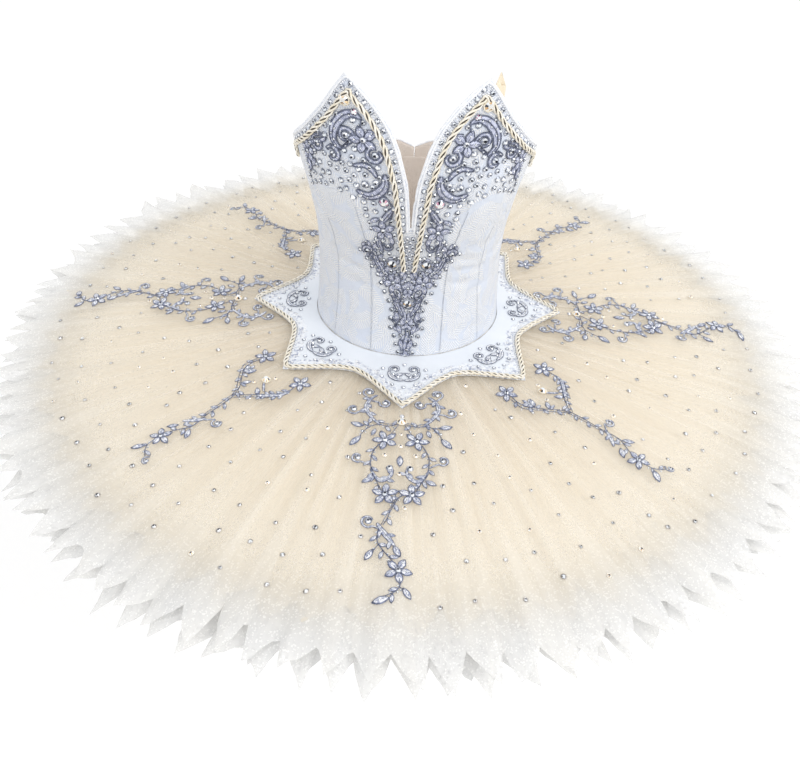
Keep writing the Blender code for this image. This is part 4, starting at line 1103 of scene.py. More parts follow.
class Design:
    """Weight is how heavy the cords and bands are, and sprig is the length of the leaflets along a cord."""

    def __init__(self, name, weight=1.0, sprig=0.0):
        self.name, self.weight, self.sprig, self.hand = name, weight, sprig / 1000, 1
        self.lines, self.bands, self.parts = [], [], []

    def both(self):
        """Two turns, the second with y and every angle mirrored."""
        for self.hand in (1, -1):
            yield
        self.hand = 1

    def drawn(self, row):
        """A smooth line through a row of x, y, x, y in millimetres."""
        return flowing([(x / 1000, self.hand * y / 1000) for x, y in zip(row[::2], row[1::2])], 4)

    def beside(self, line, step, aside):
        """Places beside a line, left and right by turns: x, y, the line's own angle and the side."""
        spots, _, _, _ = along_path([((*spot, 0.0), (0, 0, 1)) for spot in line], step)
        for i in range(1, len(spots) - 1):
            ahead = spots[i + 1] - spots[i - 1]
            heading, side = math.atan2(ahead[1], ahead[0]), (-1) ** i
            off = side * aside
            yield spots[i][0] - off * math.sin(heading), spots[i][1] + off * math.cos(heading), heading, side

    def trim(self, line, aside, lift, leafy):
        """Spangles along a line, and leaflets on both sides of it."""
        for i, (x, y, _, _) in enumerate(self.beside(line, SPANGLE_STEP, aside)):
            self.place(SPANGLE, x, y, SPANGLE_SIZE, SPANGLE_TURN * i, lift)
        if self.sprig and leafy:
            reach = self.sprig * SPRIG_REACH
            for x, y, heading, side in self.beside(line, SPRIG_STEP, reach):
                x, y = x + reach * math.cos(heading), y + reach * math.sin(heading)
                self.place(LEAF, x, y, self.sprig, math.degrees(heading) + side * SPRIG_TURN)

    def cord(self, row, start=1.0, end=0.75):
        line = self.drawn(row)
        widths = np.linspace(start, end, len(line)) * self.weight
        self.lines.append([(x, y, CORD_WIDTH * CORD_LIFT, w) for (x, y), w in zip(line, widths)])
        self.trim(line, SPANGLE_SIZE * 1.3, 0.0, start > HEAVY)

    def band(self, row, widest):
        self.pad(self.drawn(row), widest / 1000)

    def pad(self, line, widest):
        """A padded band that swells and tapers, with a thin cord along each side."""
        thin, outline = BAND_THIN * self.weight, OUTLINE_WIDTH * self.weight
        bow = np.sin(math.pi * np.linspace(0.0, 1.0, len(line))) ** 0.8
        swell = bow * (widest * self.weight - thin) + thin
        self.bands.append([(x, y, BAND_LIFT, s / CORD_WIDTH) for (x, y), s in zip(line, swell)])
        for side in (-1, 1):
            edge = []
            for i, (spot, s) in enumerate(zip(line, swell)):
                way = line[min(i + 1, len(line) - 1)] - line[max(i - 1, 0)]
                way = way / max(np.hypot(*way), 1e-9)
                x, y = spot[0] - side * way[1] * s, spot[1] + side * way[0] * s
                edge.append((x, y, outline, outline / CORD_WIDTH))
            self.lines.append(edge)
        self.trim(line, widest * self.weight * 0.3, FLAT * widest * self.weight * 1.6, widest > LEAFY)
        if widest > VEINED:
            inner = list(zip(line, swell))[2:-2]
            self.lines.append([(x, y, FLAT * 2 * s, 0.45 * self.weight) for (x, y), s in inner])

    def curl(self, along, side, size, turn, sweep, widest=1.7, tail=None):
        """A scroll round a stone, from an angle (turn) on through the sweep, whose sign is its hand."""
        points = [(tail[0] / 1000, self.hand * tail[1] / 1000)] if tail else []
        x, y = along / 1000, self.hand * side / 1000
        for share in np.arange(8) / 7:
            angle = math.radians(self.hand * (turn + sweep * share))
            radius = size / 1000 * (1.0 - CURL_IN * share)
            points.append((x + radius * math.cos(angle), y + radius * math.sin(angle)))
        self.pad(flowing(points, 4), widest / 1000)
        self.stone(along, side, size * CURL_EYE)

    def place(self, master, along, side, size, turn, lift=0.0):
        """Places a master at its own size, here in metres."""
        spin = Matrix.Rotation(math.radians(turn), 4, "Z") @ Matrix.Scale(size, 4)
        self.parts.append(copied(master, Matrix.Translation((along, side, lift)) @ spin))

    def add(self, master, along, side, size, turn, lift=0.0):
        self.place(master, along / 1000, self.hand * side / 1000, size / 1000, turn, lift)

    def stone(self, along, side, size, kind="clear"):
        self.add(STONES[kind], along, side, size, 57.0 * along % 45)

    def jewel(self, kind, along, side, size, turn):
        self.add(STONES[kind], along, side, size, turn, JEWEL_LIFT)

    def flower(self, along, side, size, turn):
        self.add(STAR if self.sprig else FLOWER, along, side, size, self.hand * turn)

    def leaf(self, along, side, length, turn):
        self.add(LEAF, along, side, length, self.hand * turn)

    def done(self):
        """Everything joined: the bands pressed flat, and cords rounder where they are seen from near."""
        bands = cords(self.name + "_bands", self.bands, CORD_WIDTH, PADDED_THREAD)
        spots = points_of(bands)
        spots[:, 2] = (spots[:, 2] - BAND_LIFT) * FLAT + BAND_LIFT / 2
        move_points(bands, spots)
        sides = 6 if self.weight == 1.0 else 4
        made = join(self.name, [
            bands, *self.parts, cords(self.name + "_cords", self.lines, CORD_WIDTH, CORD_THREAD, sides)])
        print(self.name, len(made.data.polygons), "faces")
        return made


def lay(design, name, place):
    """A copy of a design with each point moved by place(along, side, height)."""
    piece = copied(design, Matrix.Identity(4))
    move_points(piece, [place(*spot) for spot in points_of(design)])
    piece.name = name
    return piece


def rethread(piece, changes):
    """Gives a piece the paler thread finishes for the net or the plate, which are partly painted light."""
    for slot in piece.material_slots:
        slot.material = changes.get(slot.material.name, slot.material)
    return piece

# %% [markdown]
# ## Eight sprays on the net
#
# The large spray hangs below a point of the plate like a pendant: two S-scrolls, a gold stone
# between them, star flowers joined by an open ring of stems, and a stem with leaves that runs to
# the rim. The small one is a fork with a flower on each arm and a thin wandering stem.

# %% The two spray designs, in millimetres
def large_spray():
    d = Design("large_spray", 0.58, sprig=9.4)
    for _ in d.both():
        d.band([188, 30, 195, 38, 208, 42, 222, 36, 236, 24], 4)
        d.curl(183, 40, 7.4, 20, 290, tail=(196, 38))
        d.curl(200, 20.5, 7.2, 100, -290, tail=(198, 36))
        d.curl(212, 56, 7.8, -60, 280, tail=(216, 41))
        d.cord([235, 26, 237, 16, 235, 4])
        d.cord([231, 27, 234, 16, 232, 5], 0.7, 0.6)
        d.cord([235, 26, 238, 37, 236, 46])
        d.cord([238, 35, 247, 42, 256, 47], 0.8, 0.6)
        d.leaf(236, 50, 15, 105)
        d.leaf(261, 50.5, 17, 40)
        d.leaf(247, 31, 11, 20)
        d.cord([235, 3, 242, 7, 250, 12], 0.8, 0.7)
        d.flower(258.5, 17.5, 14, 15)
        d.cord([265, 24, 278, 30, 292, 31.5, 306, 29, 317, 24, 330, 18])
        d.curl(285.5, 46, 7, -40, 270, tail=(296, 32))
        d.band([301, 31, 312, 25, 316, 17, 310, 9, 301, 7.5], 3.6)
        d.stone(299, 11, 4)
        d.leaf(317, 33.5, 13, 60)
        d.flower(335, 14, 14, 40)
        d.stone(280, 17, 3, "gold")
        d.stone(246, 44, 2)
        d.stone(209, 40, 2.2)
    d.jewel("amber", 231, 0, 6, 20)
    d.stone(221.5, 0, 2.8, "pale")
    d.stone(250, 0, 2.2, "gold")
    d.stone(268, 0, 3, "gold")
    d.leaf(290, 0, 15, 0)
    d.stone(308, 0, 2.6, "gold")
    d.stone(352, 7, 2.8, "gold")
    d.cord([332, 6, 338, 3, 341, 0, 354, -6, 366, -10, 374, -14])
    d.cord([332, -6, 337, -3, 343, -3, 357, -9, 374, -16], 0.7, 0.6)
    d.curl(369, -29, 7.8, 40, -290, tail=(379, -16))
    d.band([371, -20, 380, -15, 390, -8, 400, -1], 4.2)
    d.cord([376, -18, 389, -19, 397, -17, 409, -9, 418, -1])
    d.cord([396, -17, 401, -20, 407, -23], 0.8, 0.6)
    d.leaf(408, -26, 14, -30)
    d.leaf(405, 1, 14, 30)
    d.stone(390, -8, 1.8)
    d.flower(426, 3, 13.5, 10)
    d.cord([436, 5, 443, 5, 449, 0, 453, -8], 0.9, 0.7)
    d.cord([443, 5, 446, 9], 0.8, 0.6)
    d.leaf(449, 12, 13, 35)
    d.leaf(457, -12, 16, -75)
    return d.done()


def small_spray():
    d = Design("small_spray", 0.58, sprig=9.0)
    d.flower(209, -35, 13.2, 24)
    d.flower(209, 35, 13.2, -24)
    d.cord([217, -35, 229, -37, 241, -34, 252, -24, 265, -10, 280, -2])
    d.cord([219, -39, 238, -40, 252, -29, 266, -14, 280, -3], 0.8, 0.7)
    d.leaf(240, -24, 14, 150)
    d.leaf(254, -12, 12, 150)
    d.flower(238, -28, 8.5, 50)
    d.cord([217, 35, 229, 36, 240, 31, 252, 20, 263, 9, 276, 0])
    d.band([226, 37, 238, 34, 250, 24, 258, 14], 4.2)
    d.cord([240, 37, 254, 25, 266, 11, 280, 1], 0.8, 0.7)
    d.band([239, 3, 243, 8, 248, 15], 2.2)
    d.leaf(253, 10, 12, 60)
    d.jewel("amber", 234.5, 1.5, 5.8, 20)
    d.stone(224, 6, 2.8, "gold")
    d.stone(247, -6, 2.6, "gold")
    d.cord([276, -2, 297, 1.5, 316, 3, 326, 5], 1, 0.8)
    d.cord([278, -5, 297, -1.5, 316, 0.5, 326, 3], 0.8, 0.7)
    d.curl(317, 22, 7, -100, 280, tail=(326, 6))
    d.band([322, 7, 331, 3, 338, -2, 344, -7], 3.6)
    d.cord([330, 6, 342, 7, 352, 3, 364, -2])
    d.leaf(350, 13, 14, 40)
    d.leaf(356, -8, 13, -35)
    d.flower(374, -3, 12.5, 20)
    d.cord([381, -3, 390, -2, 397, 3, 401, 10], 0.9, 0.7)
    d.leaf(400, -7, 15, -30)
    d.curl(403, 16, 5.6, 200, 230, widest=1.2)
    return d.done()


SPRAY_DESIGNS = (large_spray(), small_spray())

# %% [markdown]
# Each spray is bent round the skirt: its x becomes the distance from the body's axis, and a ray
# finds the net under every point. The spray's own height is added to the net's.

# %% Laying the sprays
SEWN = 0.0004               # what is sewn on clears the cloth by this much


def bent(angle, surface):
    """Turns a design's plane to an angle round the skirt and drops it on a surface."""
    out, across = np.array(polar(angle, 1.0))[:2], np.array(polar(angle + 90, 1.0))[:2]

    def place(along, side, height):
        x, y = out * along + across * side
        return x, y, surface(x, y)[0].z + SEWN + height
    return place


for i in range(8):
    name = f"spray_{45 * i}"
    piece = rethread(lay(SPRAY_DESIGNS[i % 2], name, bent(45 * i, on_net)), ON_NET)
    store(piece, name + "_embroidery", "silver_blue_cord", (), [name], smooth=35)

# %% [markdown]
# ## Where the small stones go
#
# The small stones between the motifs aren't in rows, but they never touch either. That's a job for
# dart throwing: try a random place, and keep it only if it is far enough from all that is there. A
# drawn boundary keeps them on the cup, below the neck trim and above a line that dips from the neck
# to the underarm. The point at the front is filled the same way, first with stones on one half, which
# are mirrored, and then with leaflets under everything else, so that hardly any cloth shows there.
# The seeds are fixed, so every run gives the same places.

# %% Fills of small stones, in millimetres
OVERLAP = 1.4               # how far a stone may reach into what it keeps off


def fill(seed, inside, gap, keep_off, tries, low, high, sizes):
    """Places for stones (along, side, size) inside a shape, at least a gap apart and off other things."""
    draw = random.Random(seed)
    found = []
    for _ in range(tries):
        along, side = draw.uniform(low[0], high[0]), draw.uniform(low[1], high[1])
        if not inside(along, side):
            continue
        if any(math.hypot(along - a, side - s) < gap for a, s, _ in found):
            continue
        if any(math.hypot(along - a, side - s) < r - OVERLAP for a, s, r in keep_off):
            continue
        found.append((along, side, draw.uniform(*sizes)))
    return found


# The neck edge and the underarm, as (angle in degrees, height) on one half of the body.
TOP_EDGE = (
    (0.8, 70), (1.5, 105), (2.6, 130), (6.2, 165), (10, 187), (15.5, 206), (22, 222), (28.5, 232),
    (42, 195), (55, 169), (66, 154), (78, 140), (82, 120), (87, 93), (93, 70), (101, 61), (112, 62),
    (127, 74), (145, 90), (163, 96), (172, 91), (180, 83),
)
EDGE_LINE = [Vector((math.radians(angle) * BODY_REACH, height / 1000)) for angle, height in TOP_EDGE]
EDGE_STEPS = [a.lerp(b, share) for a, b in zip(EDGE_LINE, EDGE_LINE[1:]) for share in (0.0, 0.25, 0.5, 0.75)]
TRIM_DEPTH = 0.0160         # metres from the edge to the first stone


def between(place, table):
    """A value read between the rows of a table."""
    return float(np.interp(place, *zip(*table)))


def on_cup(along, side):
    spot = Vector((side / 1000, along / 1000))
    lowest = between(side, ((0, 20), (35, 36), (55, 106), (85, 116), (118, 100)))
    far = min((spot - step).length for step in EDGE_STEPS)
    return along > lowest and far > TRIM_DEPTH and along / 1000 < between(side / 1000, EDGE_LINE) + 0.002


def on_front(along, side):
    half = between(along, ((-108, 2), (-90, 10), (-45, 17), (-10, 36), (20, 52), (46, 60)))
    near_middle = along < 5 or side > (along - 5) * 0.25 + 4
    return side < half and near_middle and (along < 30 or side > 40)


CUP_THINGS = (
    (208.5, 63.5, 11), (198.5, 54.5, 8), (194.5, 50, 7), (193, 64, 8), (185, 72.5, 8), (174, 77.5, 8),
    (163, 75.5, 8), (174.5, 63.5, 13), (172.5, 46.5, 15), (158.5, 35.5, 13), (151.5, 79, 13),
    (157.5, 98.5, 13), (142.5, 116.5, 13), (130, 114, 10), (180, 37.5, 8), (140, 37, 7), (147, 47, 6),
    (145, 56, 6), (139, 27, 7), (127, 27, 8), (117, 34, 9), (113, 44.5, 9), (117, 54.5, 7),
    (125.5, 46.5, 9), (129, 35.5, 8), (107.5, 28, 11), (69, 30.5, 15), (82, 40, 8), (49, 37, 7),
    (47, 25.5, 10), (90, 22, 8), (90, 27, 7), (56, 21.5, 8),
)
FRONT_THINGS = (
    (21.5, 21.5, 12), (34.5, 53.5, 13), (24, 42, 8), (12, 36, 10), (-7, 19.5, 15), (8, 8, 8), (-13, 0, 12),
    (-33, 0, 11), (-27, 12.5, 9), (-38, 12, 6), (-56, 0, 11), (-50, 12.5, 7), (-66, 9, 7), (-59, 15.5, 7),
    (-85, 0, 8), (-98, 0, 7),
)
FRONT_BORDER = (
    (33, 64), (22, 56), (12, 49), (2, 41), (-9, 36), (-20, 31), (-31, 24.5), (-42, 20.5), (-53, 21.5),
    (-65, 20.5), (-75, 15.5), (-86, 12.5), (-96, 9),
)
BORDER_THINGS = tuple((along, side, 8.5) for along, side in FRONT_BORDER)
CUP_FILL = fill(3, on_cup, 8.1, CUP_THINGS, 11000, (30, 12), (235, 128), (3.0, 3.5))
HALF_FILL = fill(5, on_front, 7.8, FRONT_THINGS + BORDER_THINGS, 8000, (-110, 0), (50, 62), (2.8, 3.2))
FRONT_FILL = HALF_FILL + [(along, -side, size) for along, side, size in HALF_FILL if side > 4.5]
FRONT_GROUND = fill(11, on_front, 7.0, BORDER_THINGS, 4000, (-100, 2), (50, 62), (9.0, 11.5))
print(len(CUP_FILL), "stones on a cup,", len(FRONT_FILL), "in front,", len(FRONT_GROUND) * 2, "leaflets")

# %% [markdown]
# ## Embroidery on the bodice
#
# Each cup carries a moon-shaped scroll round a stone, star flowers and smaller curls, joined by a
# stem that follows the neck edge down to the waist. The centre front piece gathers both sides into a
# point that runs to the lower edge. Both designs are drawn flat, with x up the body and y round it,
# and one cup serves for both.

# %% Cup and front designs, in millimetres
def cup_design():
    d = Design("cup")
    d.jewel("amber", 208.5, 63.5, 6.2, 10)
    d.jewel("blush", 198.5, 54.5, 3.6, 30)
    d.band([193, 48, 196.5, 57, 191.5, 66.5, 180, 75.5, 166.5, 77, 159, 69], 4.6)
    d.curl(174.5, 63.5, 8, 250, 310, widest=1.8, tail=(160, 69))
    d.cord([193, 48, 186, 49, 180, 53], 0.9, 0.6)
    d.flower(172.5, 46.5, 13.8, 20)
    d.curl(158.5, 35.5, 8.4, 30, 300, widest=2, tail=(170, 37))
    d.curl(151.5, 79, 8.2, 60, -300, widest=2, tail=(161, 80))
    d.curl(157.5, 98.5, 7.8, 40, 290, widest=1.8, tail=(169, 90))
    d.band([169, 90, 164, 89, 154, 110, 145, 114], 2)
    d.flower(142.5, 116.5, 12, 0)
    d.leaf(128.5, 116.5, 15, 190)
    d.leaf(133, 108, 13, 150)
    d.leaf(180, 37.5, 12, 60)
    d.band([135, 34, 142, 38, 147, 46, 144.5, 57.5], 2.6)
    d.band([140, 26.5, 127, 27, 117, 34, 112.5, 44.5, 118, 55.5], 5)
    d.stone(125.5, 46.5, 4.4)
    d.stone(129, 35.5, 3.6)
    d.jewel("blush", 107.5, 28, 6.2, 10)
    d.cord([117, 30, 104, 20.5, 90, 20.5, 78, 24])
    d.band([100, 19, 90, 25.5, 78, 33.5], 3.4)
    d.flower(69, 30.5, 14, 10)
    d.leaf(82, 40, 13, 120)
    d.leaf(56, 21.5, 13, 200)
    d.band([60, 35, 49, 37, 38, 33], 3.2)
    d.curl(47, 25.5, 6.2, 60, 280, widest=1.4)
    d.leaf(43, 43, 13, 150)
    for along, side, size in CUP_FILL:
        d.stone(along, side, size, "pale" if size > 3.3 else "clear")
    return d.done()


def front_design():
    d = Design("front")
    for _ in d.both():
        d.jewel("jewel", 21.5, 21.5, 7.2, 10)
        d.curl(34.5, 53.5, 8, 200, 290, widest=2.2, tail=(23, 44))
        d.band([40, 45, 24, 42, 12, 36, 4, 26], 3.6)
        d.flower(-7, 19.5, 13.2, 25)
        d.flower(8.5, 33.5, 10, 10)
        d.cord([12, 16, 2, 11, -12, 8, -24, 3])
        d.leaf(8, 8, 14, 160)
        d.band([-16, 24, -26, 17, -38, 12, -50, 4], 3)
        d.curl(-27, 12.5, 5, 30, 260, widest=1.2)
        d.leaf(-50, 13, 14, 200)
        d.leaf(-66, 9.5, 14, 205)
        d.curl(-59, 15.5, 4.4, 60, -250, widest=1)
        d.leaf(-85, 6, 13, 195)
        for along, side in FRONT_BORDER:
            d.stone(along, side, 3.2)
    d.jewel("jewel", -33, 0, 6.6, 10)
    d.flower(-13, 0, 10, 0)
    d.flower(-56, 0, 9.2, 36)
    d.band([-64, 0, -74, 1.5, -86, -1, -98, 0], 2.6)
    d.leaf(-98, 0, 15, 180)
    for along, side, size in FRONT_FILL:
        d.stone(along, side, size)
    for along, side, size in FRONT_GROUND:
        for _ in d.both():
            d.leaf(along, side, size, 60 + 24 * along % 160)
    return d.done()


def on_body(hand):
    def place(along, side, height):
        return on_bodice(hand * side, along, SEWN + height)[0]
    return place


CUP, FRONT = cup_design(), front_design()
APPLIQUES = (("cup_applique_left", CUP, 1), ("cup_applique_right", CUP, -1), ("front_applique", FRONT, 1))
for name, design, hand in APPLIQUES:
    piece = lay(design, name, on_body(hand))
    face_outwards(piece)
    store(piece, name + "_embroidery", "silver_blue_cord", (), [name], smooth=35)

# %% [markdown]
# ## Braid and rope
#
# The trim along the neck and round the plate is a furnishing cord: two cream strands and a gold one,
# wound round a core so loosely that the core shows in the gaps, where its dark colour is painted
# shade. Each strand is a helix. At every step along the path it stands off the middle line in a
# direction that turns once a pitch, and the cloth's own normal says which way is up.

# %% Twisted cord
NECK_CORD = (0.00120, 1.75, 0.0285)     # a strand's radius, its reach in strands, and the pitch
PLATE_CORD = (0.00130, 1.60, 0.0228)
STEPS_A_TURN = 12
CORE_INSIDE = 0.35          # how much thinner the core is than the winding, in strands
FLATTENED = 0.55            # how high the cord stands, as a share of its width
SUNK = 0.8                  # how much of a strand's radius is above the cloth


def lift_of(strand, wind, _):
    """How high above the cloth a cord's middle line runs."""
    return (wind * FLATTENED + SUNK) * strand


def twisted(name, points, cord, closed=False):
    """Three strands wound round a core along (spot, normal) pairs; the core is painted dark as the shade
    between them.
    """
    strand, wind, pitch = cord
    spots, normals, length, places = along_path(points, pitch / STEPS_A_TURN, closed)
    turns = length / pitch if not closed else round(length / pitch)
    ahead = np.roll(spots, -1, axis=0) - np.roll(spots, 1, axis=0)
    if not closed:
        ahead[0], ahead[-1] = spots[1] - spots[0], spots[-1] - spots[-2]
    ahead /= np.linalg.norm(ahead, axis=1)[:, None]
    across = np.cross(ahead, normals)
    across /= np.linalg.norm(across, axis=1)[:, None]
    # The core is painted dark as the shade between the strands.
    pieces = [cords(name + "_core", [spots], strand * (wind - CORE_INSIDE), GAP_SHADE_CORE, 6, closed)]
    for i, finish in enumerate((CREAM_SILK, GOLD_THREAD, CREAM_SILK)):
        phase = math.tau * (turns * places / length + i / 3)
        off = np.cos(phase)[:, None] * normals * FLATTENED + np.sin(phase)[:, None] * across
        pieces.append(cords(f"{name}_{i}", [spots + off * strand * wind], strand, finish, 6, closed))
    return join(name, pieces)


def inset_line(distance, first=0):
    """The neck edge moved inwards, its corners kept sharp, without its first points and its last."""
    moved = []
    for i, point in enumerate(FRONT_EDGE):
        before = (point - FRONT_EDGE[i - 1]).normalized() if i else None
        after = (FRONT_EDGE[i + 1] - point).normalized() if i < len(FRONT_EDGE) - 1 else None
        before, after = before or after, after or before
        mean = (before + after).normalized()
        moved.append(point + Vector((mean.y, -mean.x)) * distance / max(mean.dot(after), 0.5))
    return moved[first:-1]


def on_edge_line(points, lift, hand):
    """Places on the bodice for a line in (side, height), each with the cloth's normal."""
    return [on_bodice(hand * side, height, lift) for side, height in flowing(points, 8)]


BRAID_INSET = 0.0118        # from the top edge to the braid's middle
BRAID_FOOT = Vector((math.radians(3.0) * BODY_REACH, 0.012))
FRONT_EDGE = [point for point, (angle, _) in zip(EDGE_LINE, TOP_EDGE) if angle <= 88.0]
for name, hand in (("neck_braid_left", 1), ("neck_braid_right", -1)):
    path = on_edge_line([BRAID_FOOT] + inset_line(BRAID_INSET, 1), lift_of(*NECK_CORD), hand)
    store(twisted(name, path, NECK_CORD), name + "_cord", "gold_braid", (), [name])

# %% [markdown]
# ## Piping and the strip of stones
#
# A white piping finishes the top edge all round, and along the neck one more cord beside it makes a
# plain white binding. Between that and the braid runs a row of small stones in silver settings, sewn
# side by side, with a row of white seed beads on each side of it. Each follows the top edge at its
# own distance. Below the V the stones go on down between the two braids.

# %% Piping and stone strip
PIPING_RADIUS = 0.0014
NECK_FOOT = 0.0625          # height of the bottom of the V
BINDING_INSET = 0.0022
STRIP_INSET, STRIP_STEP = 0.0066, 0.0108
STRIP_SIZES = (0.0028, 0.0033)
MIDDLE_ROWS = 9             # rows of stones below the V, between the braids
MIDDLE_TOP, MIDDLE_STEP = 0.0600, 0.0060
MIDDLE_SIDE, MIDDLE_SIZE = 0.0036, 0.0029
SEED_INSETS, SEED_STEP = (0.0042, 0.0086), 0.0027
SEED_SIZES = (0.0009, 0.0012)
EDGE_BELOW, EDGE_ABOVE = 0.004, 0.010   # where the way out of the edge and its place are read
EDGE_IN = 0.0006            # the piping's middle lies this far inside the cloth's face


def sewn(master, spot, normal, size, turn=0.0):
    """A copy of a master that stands on a spot, its own z along the cloth's normal."""
    stand = Matrix.Translation(spot) @ Vector(normal).to_track_quat("Z", "Y").to_matrix().to_4x4()
    return copied(master, stand @ Matrix.Rotation(turn, 4, "Z") @ Matrix.Scale(size, 4))


def edge_path(points, hand):
    """A line along the very edge of the cloth, from points in (side, height)."""
    found = []
    for side, height in flowing(points, 8):
        _, normal = on_bodice(hand * side, height - EDGE_BELOW)
        spot, _ = on_bodice(hand * side, height + EDGE_ABOVE)
        found.append(spot - normal * EDGE_IN)
    return found


piping = []
for hand in (1, -1):
    binding = [spot for spot, _ in on_edge_line(inset_line(BINDING_INSET), PIPING_RADIUS * 0.4, hand)]
    for line in (edge_path([Vector((0.0, NECK_FOOT))] + EDGE_LINE, hand), binding):
        piping.append(cords("piping", [line], PIPING_RADIUS, PIPING, 8))
store(join("piping", piping), "neck_piping", "brocade")

strip = []
draw = random.Random(8)
for hand in (1, -1):
    spots, normals, _, _ = along_path(on_edge_line(inset_line(STRIP_INSET), SEWN, hand), STRIP_STEP)
    for spot, normal in zip(spots, normals):
        size, kind = draw.uniform(*STRIP_SIZES), draw.choice(("clear", "pale"))
        strip.append(sewn(STONES[kind], spot, normal, size, draw.uniform(0, 3)))
for row in range(MIDDLE_ROWS):
    shifts = (-1, 1) if row % 2 == 0 else (-2, 0, 2) if row < 4 else (0,)
    for shift in shifts:
        spot, normal = on_bodice(shift * MIDDLE_SIDE, MIDDLE_TOP - MIDDLE_STEP * row, SEWN)
        strip.append(sewn(STONES["clear"], spot, normal, MIDDLE_SIZE, draw.uniform(0, 3)))

bpy.ops.mesh.primitive_ico_sphere_add(subdivisions=1, radius=1.0)
SEED = added(PIPING)
for hand in (1, -1):
    for inset in SEED_INSETS:
        spots, normals, _, _ = along_path(on_edge_line(inset_line(inset, 1), SEWN, hand), SEED_STEP)
        strip += [sewn(SEED, spot, normal, draw.uniform(*SEED_SIZES)) for spot, normal in zip(spots, normals)]
store(join("strip", strip), "neck_stones", "silver_blue_cord", smooth=35)

# %% [markdown]
# ## The plate
#
# The plate lies on the net and has eight points with hollow sides between them. It is made as the
# nets are, ring by ring, but with its outer ring on the star. The rings are close together near the
# border, where the lace is, and each point stores how far it is from the outline.

# %% Plate with its border
POINTS = 8
TIP, VALLEY = 0.209, 0.161  # distance from the axis at a point and between two
HOLLOW = 1.8                # how hollow the sides are, with 1 for straight ones
TIP_COLUMNS = 48            # columns of points from one tip to the next
PLATE_COLUMNS = TIP_COLUMNS * POINTS
ROPE_INSET, ROPE_AT_POINTS = 0.0024, 2.2    # how far in the rope lies, and how much more at the points
PLATE_SHARES = (0.0, 0.3, 0.55, 0.72, 0.82, 0.88, 0.92, 0.95, 0.975, 0.99, 1.0)
SATIN_THICKNESS = 0.0012
WAIST_LEVEL = -0.1012       # where the plate meets the bodice's lower edge
PLATE_LEVEL = -0.100        # a height on the plate
BASQUE = 0.72               # the waist's radius where nothing is met, as a share of the valley's
ANGLES = [360.0 * i / PLATE_COLUMNS for i in range(PLATE_COLUMNS)]


def plate_radius(angle):
    half = 180.0 / POINTS
    away = abs((angle + half) % (2 * half) - half) / half
    return VALLEY + (TIP - VALLEY) * (1 - away) ** HOLLOW


def waist_radius(angle):
    spot, _, _, _ = PLATE_NODE.ray_cast(Vector((0, 0, WAIST_LEVEL)), polar(angle, 1.0))
    return math.hypot(spot.x, spot.y) if spot else VALLEY * BASQUE


inner = [waist_radius(angle) for angle in ANGLES]
rows = []
for share in PLATE_SHARES:
    row = [polar(angle, low + (plate_radius(angle) - low) * share) for angle, low in zip(ANGLES, inner)]
    for spot in row:
        spot.z = under(PLATE_NODE, spot.x, spot.y, 0.0, PLATE_LEVEL)[0].z - SATIN_THICKNESS / 2
    rows.append(row)
plate = ring_mesh("plate", rows)
apply(plate, "SOLIDIFY", thickness=SATIN_THICKNESS, offset=0.0)
outline = np.array([polar(angle, plate_radius(angle))[:2] for angle in ANGLES])
edge = np.array([np.hypot(*(outline - spot[:2]).T).min() for spot in points_of(plate)])
plate.data.attributes.new("edge", "FLOAT", "POINT").data.foreach_set("value", edge.astype(np.float32))
store(plate, "plate_cloth", "plate_satin", [SATIN], ["plate"])
print("plate area", round(half_area(plate), 4))
PLATE_TREE = tree_of([plate])


def on_plate(x, y):
    """The plate under a point, or where it ends the net."""
    spot, normal, _, _ = PLATE_TREE.ray_cast(Vector((x, y, 0.0)), Vector((0, 0, -1)))
    return (spot, normal) if spot else on_net(x, y)


def border_line(inset, at_points, lift):
    """A line inside the plate's outline, further in at its points, as (spot, normal) pairs."""
    found = []
    for i, angle in list(enumerate(ANGLES))[::2]:
        spot = polar(angle, plate_radius(angle) - inset * (1.0 if i % TIP_COLUMNS else at_points))
        found.append((on_plate(spot.x, spot.y)[0] + Vector((0, 0, lift)), Vector((0, 0, 1))))
    return found


rope_line = border_line(ROPE_INSET, ROPE_AT_POINTS, lift_of(*PLATE_CORD))
rope = twisted("rope", rope_line, PLATE_CORD, closed=True)
store(rope, "plate_rope_cord", "gold_braid", (), ["plate_rope"])

# %% [markdown]
# Just inside the rope runs a row of seed beads, and at each point of the star sits a moon-shaped
# motif that opens towards the body, with small stones round it. The moon is drawn once as a flat
# design and laid eight times.

# %% Beads and moons on the plate, with the moon in millimetres
BEAD_INSET, BEAD_AT_POINTS = 0.0078, 2.0
BEAD_STEP, BEAD_LIFT = 0.0042, 0.0006
BEAD_SIZES = (0.0012, 0.0016)


def plate_motif():
    d = Design("moon", 0.63)
    for _ in d.both():
        d.band([162.5, 0.5, 161, 8.5, 155.5, 16, 147, 18.5], 4.2)
        d.curl(143, 11.5, 6.6, 60, 280, widest=1.8, tail=(148, 19))
        d.leaf(153, 6, 12, 60)
        d.stone(152, 13.5, 2.8, "pale")
        d.stone(156, 7.5, 2.6)
        d.stone(142, 26, 2.6, "pale")
        d.stone(156, 27, 2.4, "pale")
        d.stone(170, 14, 2.4, "pale")
    d.stone(174.5, 0, 2.6, "pale")
    d.stone(134, 0, 2.6, "pale")
    return d.done()


MOON = plate_motif()
moons = join("moons", [lay(MOON, "moon", bent(45 * i, on_plate)) for i in range(POINTS)])
store(rethread(moons, ON_PLATE), "plate_motifs", "silver_blue_cord", smooth=35)

